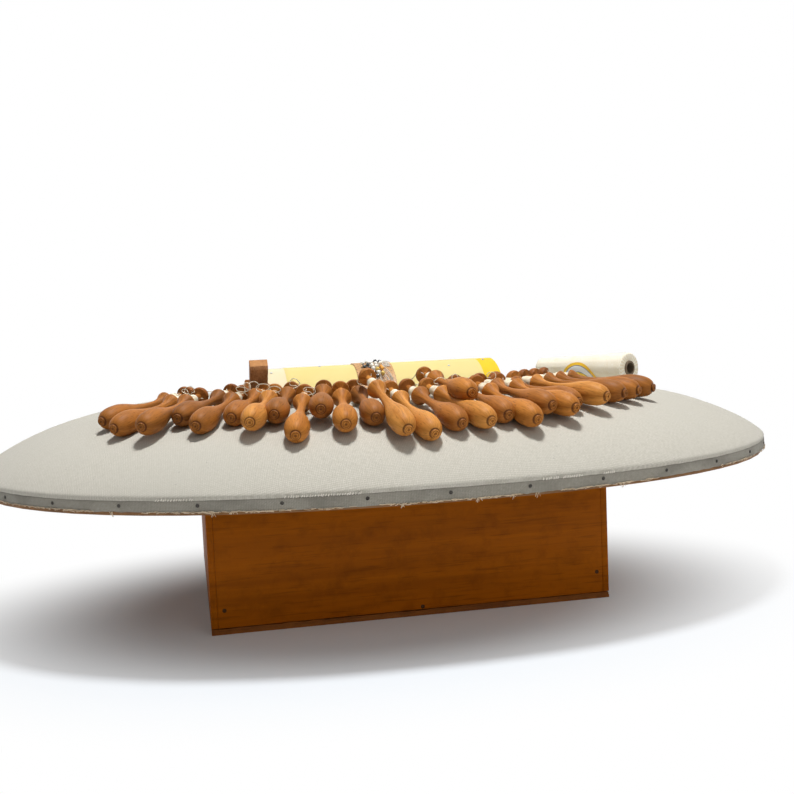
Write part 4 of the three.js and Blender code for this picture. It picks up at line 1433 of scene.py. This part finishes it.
    def spool_profile(self) -> list[tuple[float, float]]:
        """Draws the wound thread's section, in ridges that thin out toward the head."""
        profile = [(2.3 * MM, 68.1 * MM)]
        steps = 26
        for i in range(steps + 1):
            t = i / steps
            barrel = 4.25 - 1.0 * t * t
            profile.append(((barrel + (0.16 if i % 2 else -0.1)) * MM, (68.3 + 11.2 * t) * MM))
        return profile + [(2.3 * MM, 79.7 * MM), (2.3 * MM, 74 * MM)]

    def laid_thread(self, name: str, keys: Path, finish: bpy.types.Material) -> Piece:
        """Args:
            name: the thread's name.
            keys: the corners of its line.
            finish: its finish.

        Returns:
            The thread, which has no body yet.
        """
        path = rounded_path(keys)
        piece = strands(name, [path], self.thread_diameter / 2)
        piece.data.materials.append(finish)
        take(piece)
        bpy.ops.object.shade_smooth()
        return piece

    def build_thread(
        self, number: int, share: float, pose: tuple[Vector, Vector], body: str, finish: bpy.types.Material,
        lean: float,
    ) -> None:
        """Runs one thread from the lace over the pad's edge to the stem under a bobbin's head.

        Args:
            number: the bobbin's place in the fan, from the left.
            share: the same place as a share, from 0 to 1.
            pose: the tip of its bulb and the direction to its head.
            body: the body that the bobbin belongs to.
            finish: the thread's finish.
            lean: how far round the head, from its top, the thread passes.
        """
        tip, way = pose
        start_x = self.roller.lace_middle + (share - 0.5) * 2 * (self.roller.lace_half + 1.5 * MM)
        start = self.roller.on_roller(start_x, self.thread_meets, self.roller.card_outer + self.thread_rise)
        side = way.cross(Vector((0, 0, 1))).normalized()
        up = side.cross(way).normalized()
        out = up * math.cos(lean) + side * math.sin(lean)
        stem = tip + way * 85 * MM + out * (2.3 * MM)
        over = tip + way * 90.5 * MM + out * (6.7 * MM)
        past = tip + way * 99 * MM + out * (1.5 * MM)
        edge_x = start_x + (past.x - start_x) * 0.16
        edge = Vector((min(max(edge_x, -95 * MM), 92 * MM), self.form.slot_front - 1.5 * MM, 0))
        edge.z = self.form.height(edge.x, edge.y) + 0.3 * MM
        keys = [start, edge]
        for part in (0.25, 0.5, 0.75):
            middle = edge.lerp(past, part)
            middle.z = max(self.form.height(middle.x, middle.y) + 0.5 * MM, middle.z)
            keys.append(middle)
        piece = self.laid_thread(f"thread_to_bobbin_{number + 1:02d}", [*keys, past, over, stem], finish)
        if body == "stand":
            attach(piece, "stand")
        else:
            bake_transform(piece)

    def build_loop(self, number: int, loop: Loop, pose: tuple[Vector, Vector], finish: bpy.types.Material) -> None:
        """Lets a slack loop of thread stand up by a bobbin's head and run down to the pad behind it.

        Args:
            number: the loop's number.
            loop: its place and size.
            pose: the tip of the bobbin's bulb and the direction to its head.
            finish: the thread's finish.
        """
        tip, way = pose
        side = way.cross(Vector((0, 0, 1))).normalized()
        up = side.cross(way).normalized()
        outward = side if loop.across > 0 else -side
        dice = random.Random(SEED + 40 + number)
        middle = tip + way * (loop.along * MM) + side * (loop.across * MM) + up * ((loop.tall + 3.5) * MM)
        keys = [tip + way * (74 * MM) + up * (4.3 * MM)]
        rounds = 12
        for i in range(rounds):
            turn = math.radians(-100 + 385 * i / (rounds - 1))
            drift = way * ((i / (rounds - 1) - 0.5) * 7 * MM)
            loose = 1 + dice.uniform(-0.18, 0.18)
            wide, tall = loop.wide * loose * MM * math.cos(turn), loop.tall * loose * MM * math.sin(turn)
            keys.append(middle + outward * wide + up * tall + drift)
        last = middle + outward * (loop.wide * 1.4 * MM) + way * (13 * MM)
        last.z = self.form.height(last.x, last.y) + 0.6 * MM
        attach(self.laid_thread(f"slack_loop_{number + 1:02d}", [*keys, last], finish), "stand")


# Loose things on the pad


@dataclass
class ThreadTube:
    """The card tube with its cross-wound thread and a plain round label."""

    nodes: dict[str, Piece]
    length: float = 98 * MM
    bore: float = 4.6 * MM
    outer: float = 6.2 * MM
    end_radius: float = 13.2 * MM
    small_radius: float = 8 * MM
    winding_rows: int = 90
    ridge: float = 0.12 * MM
    label_radius: float = 20 * MM
    label_along: float = 46 * MM
    label_facing: tuple[float, float, float] = (-0.12, -0.27, -0.955)
    card: GrainedWood = GrainedWood(
        "grey_card_tube", pale="#84745f", deep="#665745", pore="#41362a", streak=2 * MM, length=8 * MM,
        roughness=0.75, along=Axis.Y, mapped=True,
    )
    linen: SpunThread = SpunThread(
        "cross_wound_linen", light="#fffaec", shade="#f1e3c4", ply=1.1 * MM, slant=20, relief=0.2 * MM,
    )

    def build(self) -> None:
        """Builds the tube, its winding and its label."""
        middle, axis, along = long_axis(points_of(self.nodes["thread_tube_core"]))
        if axis[1] < 0:
            axis, along = -axis, -along
        matrix = aimed(Vector(middle + axis * along.min()), Vector(axis))
        corner = self.outer - 0.3 * MM
        profile = [
            (self.bore, 0), (corner, 0), (self.outer, 0.3 * MM), (self.outer, self.length - 0.3 * MM),
            (corner, self.length), (self.bore, self.length),
        ]
        tube = settle(turned("thread_tube_card", profile, 32), matrix)
        dressed(tube, self.card.make(), "thread_tube", ["thread_tube_core"])
        self.build_winding(matrix)
        self.build_label(matrix)

    def radius_at(self, along: float) -> float:
        """Gives the winding's radius at a distance from its large end."""
        return self.end_radius + (self.small_radius - self.end_radius) * along / self.length

    def build_winding(self, matrix: Matrix) -> None:
        """Turns the winding, rounded at its ends, and raises its crossing ridges."""
        low, high, inner = 1 * MM, self.length - 1 * MM, self.outer + 0.2 * MM
        end, small = self.end_radius, self.small_radius
        profile = [(inner, low), (end - 2 * MM, low), (end - 0.7 * MM, low + 0.35 * MM)]
        heights = np.linspace(low + 1.3 * MM, high - 1.3 * MM, self.winding_rows)
        profile += [(self.radius_at(z) - 0.1 * MM, z) for z in heights]
        profile += [(small - 0.7 * MM, high - 0.35 * MM), (small - 1.4 * MM, high), (inner, high)]
        winding = turned("thread_tube_cross_winding", profile, 72)
        places = points_of(winding)
        for place in places:
            x, y, z = place
            radius = math.hypot(x, y)
            if radius > self.radius_at(z) - 1 * MM:
                slant, climb = math.atan2(y, x) * 7, z / MM * 0.9
                place[:2] *= 1 + self.ridge * math.sin(slant + climb) * math.sin(slant - climb + 1.3) / radius
        move_points(winding, places)
        settle(winding, matrix)
        dressed(winding, self.linen.make(), "thread_tube", ["thread_tube_winding"], 60)

    def build_label(self, matrix: Matrix) -> None:
        """Lays the round paper label on the winding, on the side that faces the worker."""
        label = primitive(
            "thread_tube_label", bpy.ops.mesh.primitive_circle_add, vertices=48, radius=self.label_radius,
            fill_type="NOTHING",
        )
        edit(
            label,
            lambda: bpy.ops.mesh.edge_face_add(),
            lambda: bpy.ops.mesh.poke(),
            lambda: bpy.ops.mesh.subdivide(number_cuts=9),
        )
        layer, places = first_map(label), points_of(label)
        for face in label.data.polygons:
            for loop, vertex in zip(face.loop_indices, face.vertices):
                layer.data[loop].uv = tuple(places[vertex][:2])
        facing = (matrix.to_3x3().inverted() @ Vector(self.label_facing)).normalized()
        front = math.atan2(facing.y, facing.x)
        bent = []
        for u, v, _ in places:
            along = self.label_along + v
            radius = self.radius_at(along) + 0.22 * MM
            turn = front + u / radius
            bent.append((radius * math.cos(turn), radius * math.sin(turn), along))
        move_points(label, bent)
        settle(label, matrix)
        apply_modifier(label, "SOLIDIFY", thickness=0.12 * MM, offset=1)
        edit(label, face_out)
        dressed(label, PaperLabel("printed_paper_label", self.label_radius).make(), "thread_tube")


@dataclass
class LoosePins:
    """The long pin and the safety pin that lie on the pad."""

    wire_radius: float = 0.5 * MM
    coil_radius: float = 1.5 * MM
    steel: DrawnSteel = DrawnSteel("nickel_plated_steel", colour="#c3c6d2", stain="#8b88a0")

    def build(self) -> None:
        """Builds both pins."""
        steel = self.steel.make()
        self.build_long_pin(steel)
        self.build_safety_pin(steel)

    def build_long_pin(self, steel: bpy.types.Material) -> None:
        """Turns the long pin, from its point to its round head."""
        low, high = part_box("long_pin")
        r = (high.y - low.y) / 2
        length = high.x - low.x
        profile = [(0, 0), (0.12 * MM, 0.2 * MM), (0.5 * MM, 4 * MM), (0.55 * MM, length - 2 * r)]
        leans = [math.radians(degrees) for degrees in (40, 65, 90, 120, 150)]
        profile += [(r * math.sin(lean), length - r - r * math.cos(lean)) for lean in leans]
        profile += [(0, length)]
        place = Matrix.Translation((high.x, (low.y + high.y) / 2, (low.z + high.z) / 2))
        pin = settle(turned("long_pin_turned", profile, 14), place @ Matrix.Rotation(-math.pi / 2, 4, "Y"))
        dressed(pin, steel, "stand", ["long_pin"], 50)

    def build_safety_pin(self, steel: bpy.types.Material) -> None:
        """Bends the safety pin: two arms, a coil at one end and a cap at the other."""
        low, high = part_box("safety_pin")
        half, gap = (high.x - low.x) / 2 - 2 * MM, (high.y - low.y) * 0.28
        middle = (low + high) / 2
        turn = Matrix.Translation((middle.x, middle.y, low.z + 0.7 * MM)) @ Matrix.Rotation(-math.pi / 9, 4, "Z")
        keys = [Vector((-half, gap, 0)), Vector((0, gap * 1.25, 0)), Vector((half - 3 * MM, gap, 0))]
        coil_x = half - 1.6 * MM
        for k in range(9):
            angle = math.radians(100 - k * 52)
            x, y = coil_x + self.coil_radius * math.cos(angle), self.coil_radius * math.sin(angle)
            keys.append(Vector((x, y, 0.25 * MM * k / 2)))
        keys += [Vector((half - 4 * MM, -gap, 0.5 * MM)), Vector((0, -gap, 0.3 * MM)), Vector((-half, -gap * 0.6, 0))]
        wire = strands("safety_wire", [smooth_path(keys, 5)], self.wire_radius, 8)
        cap = primitive(
            "safety_cap", bpy.ops.mesh.primitive_cube_add, size=1, location=(-half - 0.5 * MM, 0, 0.2 * MM),
            scale=(4.4 * MM, 2 * gap + 1.6 * MM, 1.5 * MM),
        )
        apply_modifier(cap, "BEVEL", width=0.6 * MM, segments=3)
        pin = settle(joined("safety_pin_wire", [wire, cap]), turn)
        dressed(pin, steel, "stand", ["safety_pin"], 50)


# Studio


@dataclass
class Studio:
    """The camera at the photograph's viewing angle, soft lamps, a pale floor and a white backdrop."""

    place: tuple[float, float, float] = (-0.155, -0.8704, 0.2207)
    yaw: float = -11.18
    pitch: float = 4.72
    roll: float = -2.39
    focal_pixels: float = 1075.5
    frame_pixels: float = 794.0
    sensor: float = 36.0
    aim: tuple[float, float, float] = (0, -0.03, 0.12)
    lamps: tuple[tuple[str, tuple[float, float, float], float, float, str], ...] = (
        ("key", (0.05, -0.12, 1.6), 0.26, 23.0, "#ffffff"),
        ("top", (0.3, -0.3, 1.9), 1.5, 3.0, "#ffffff"),
        ("fill", (0.85, -1.7, 1.2), 1.7, 8.2, "#fffcf6"),
        ("side", (-1.7, -0.3, 1.1), 1.2, 1.2, "#f6f9ff"),
    )
    room_strength: float = 0.15
    shadow_shift: tuple[float, float, float] = (0.03, 0.075, 0)
    shadow_scale: tuple[float, float, float] = (1 / 0.35, 1 / 0.25, 1.0)

    def build_camera(self) -> None:
        """Sets the camera where the photograph was taken from."""
        yaw, pitch, roll = (math.radians(a) for a in (self.yaw, self.pitch, self.roll))
        ahead = Vector((-math.sin(yaw) * math.cos(pitch), math.cos(yaw) * math.cos(pitch), -math.sin(pitch)))
        right = Vector((math.cos(yaw), math.sin(yaw), 0))
        up = right.cross(ahead)
        level_right = math.cos(roll) * right + math.sin(roll) * up
        level_up = -math.sin(roll) * right + math.cos(roll) * up
        lens = bpy.data.cameras.new("camera")
        lens.sensor_width = self.sensor
        lens.lens = self.focal_pixels / self.frame_pixels * self.sensor
        lens.clip_start = 0.01
        lens.clip_end = 100
        camera = bpy.data.objects.new("camera", lens)
        turn = Matrix((level_right, level_up, -ahead)).transposed().to_4x4()
        camera.matrix_world = Matrix.Translation(self.place) @ turn
        bpy.context.scene.collection.objects.link(camera)
        bpy.context.scene.camera = camera
        LOG.info("camera at %s", self.place)

    def build_lamps(self) -> None:
        """Hangs the soft lamps: a small one and a wide one overhead, one in front and one on the left."""
        for name, place, size, power, code in self.lamps:
            light = bpy.data.lights.new(name, "AREA")
            light.shape = "DISK"
            light.size = size
            light.energy = power
            light.color = linear(code)[:3]
            lamp = bpy.data.objects.new(name, light)
            toward = Vector(self.aim) - Vector(place)
            lamp.matrix_world = Matrix.Translation(place) @ toward.to_track_quat("-Z", "Y").to_matrix().to_4x4()
            bpy.context.scene.collection.objects.link(lamp)

    def build_world(self) -> None:
        """Makes the room: white to the camera, and dim as a light."""
        world = bpy.data.worlds.new("white_room")
        world.use_nodes = True
        tree = world.node_tree
        tree.nodes.clear()
        lit, shown = (
            add_node(tree, "ShaderNodeBackground", {"Color": "#ffffff", "Strength": strength}).outputs[0]
            for strength in (self.room_strength, 1.0)
        )
        mix = add_node(tree, "ShaderNodeMixShader", {0: Nodes(tree).seen(), 1: lit, 2: shown})
        add_node(tree, "ShaderNodeOutputWorld", {"Surface": mix.outputs[0]})
        bpy.context.scene.world = world

    def build_floor(self) -> None:
        """Lays the floor: it takes the pillow's shadow near by and is plain white further out."""
        floor = primitive("floor", bpy.ops.mesh.primitive_plane_add, size=40)
        material = bpy.data.materials.new("white_paper_floor")
        material.use_nodes = True
        tree = material.node_tree
        tree.nodes.clear()
        nodes = Nodes(tree)
        oval = nodes.vector("MULTIPLY", nodes.vector("ADD", nodes.place(), self.shadow_shift), self.shadow_scale)
        away = nodes.vector("LENGTH", oval, output="Value")
        fade = nodes.ramp(away, 0.42, 1.1, 0.05, 1.0, interpolation_type="SMOOTHSTEP")
        seen = nodes.seen()
        # To the camera the floor is tinted cool grey: painted colour that turns the warm light bounced into its shadow
        # neutral grey.
        matt = add_node(tree, "ShaderNodeBsdfDiffuse", {"Color": nodes.mix(seen, "#fdfdfd", "#dde5ed")})
        glow = add_node(tree, "ShaderNodeEmission", {"Color": "#ffffff", "Strength": 1.0})
        white = nodes.number("MULTIPLY", fade, seen)
        mix = add_node(tree, "ShaderNodeMixShader", {0: white, 1: matt.outputs[0], 2: glow.outputs[0]})
        add_node(tree, "ShaderNodeOutputMaterial", {"Surface": mix.outputs[0]})
        floor.data.materials.append(material)

    def build(self) -> None:
        """Builds the lamps, the world and the floor."""
        self.build_lamps()
        self.build_world()
        self.build_floor()
        bpy.context.scene.view_settings.view_transform = "Standard"


def main() -> None:
    """Loads the frame and builds the studio and every sub-assembly round it."""
    logging.basicConfig(level=logging.INFO, format="%(message)s")
    for thing in list(bpy.data.objects):
        bpy.data.objects.remove(thing)
    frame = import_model()
    nodes = frame["nodes"]
    studio = Studio()
    studio.build_camera()
    form = PadForm()
    roller = Roller(nodes)
    Bobbins(nodes, form, roller).build()
    studio.build()
    Pad(form).build()
    Rim(form).build()
    BoxStand(nodes).build()
    roller.build()
    ThreadTube(nodes).build()
    LoosePins().build()


if __name__ == "__main__":
    main()
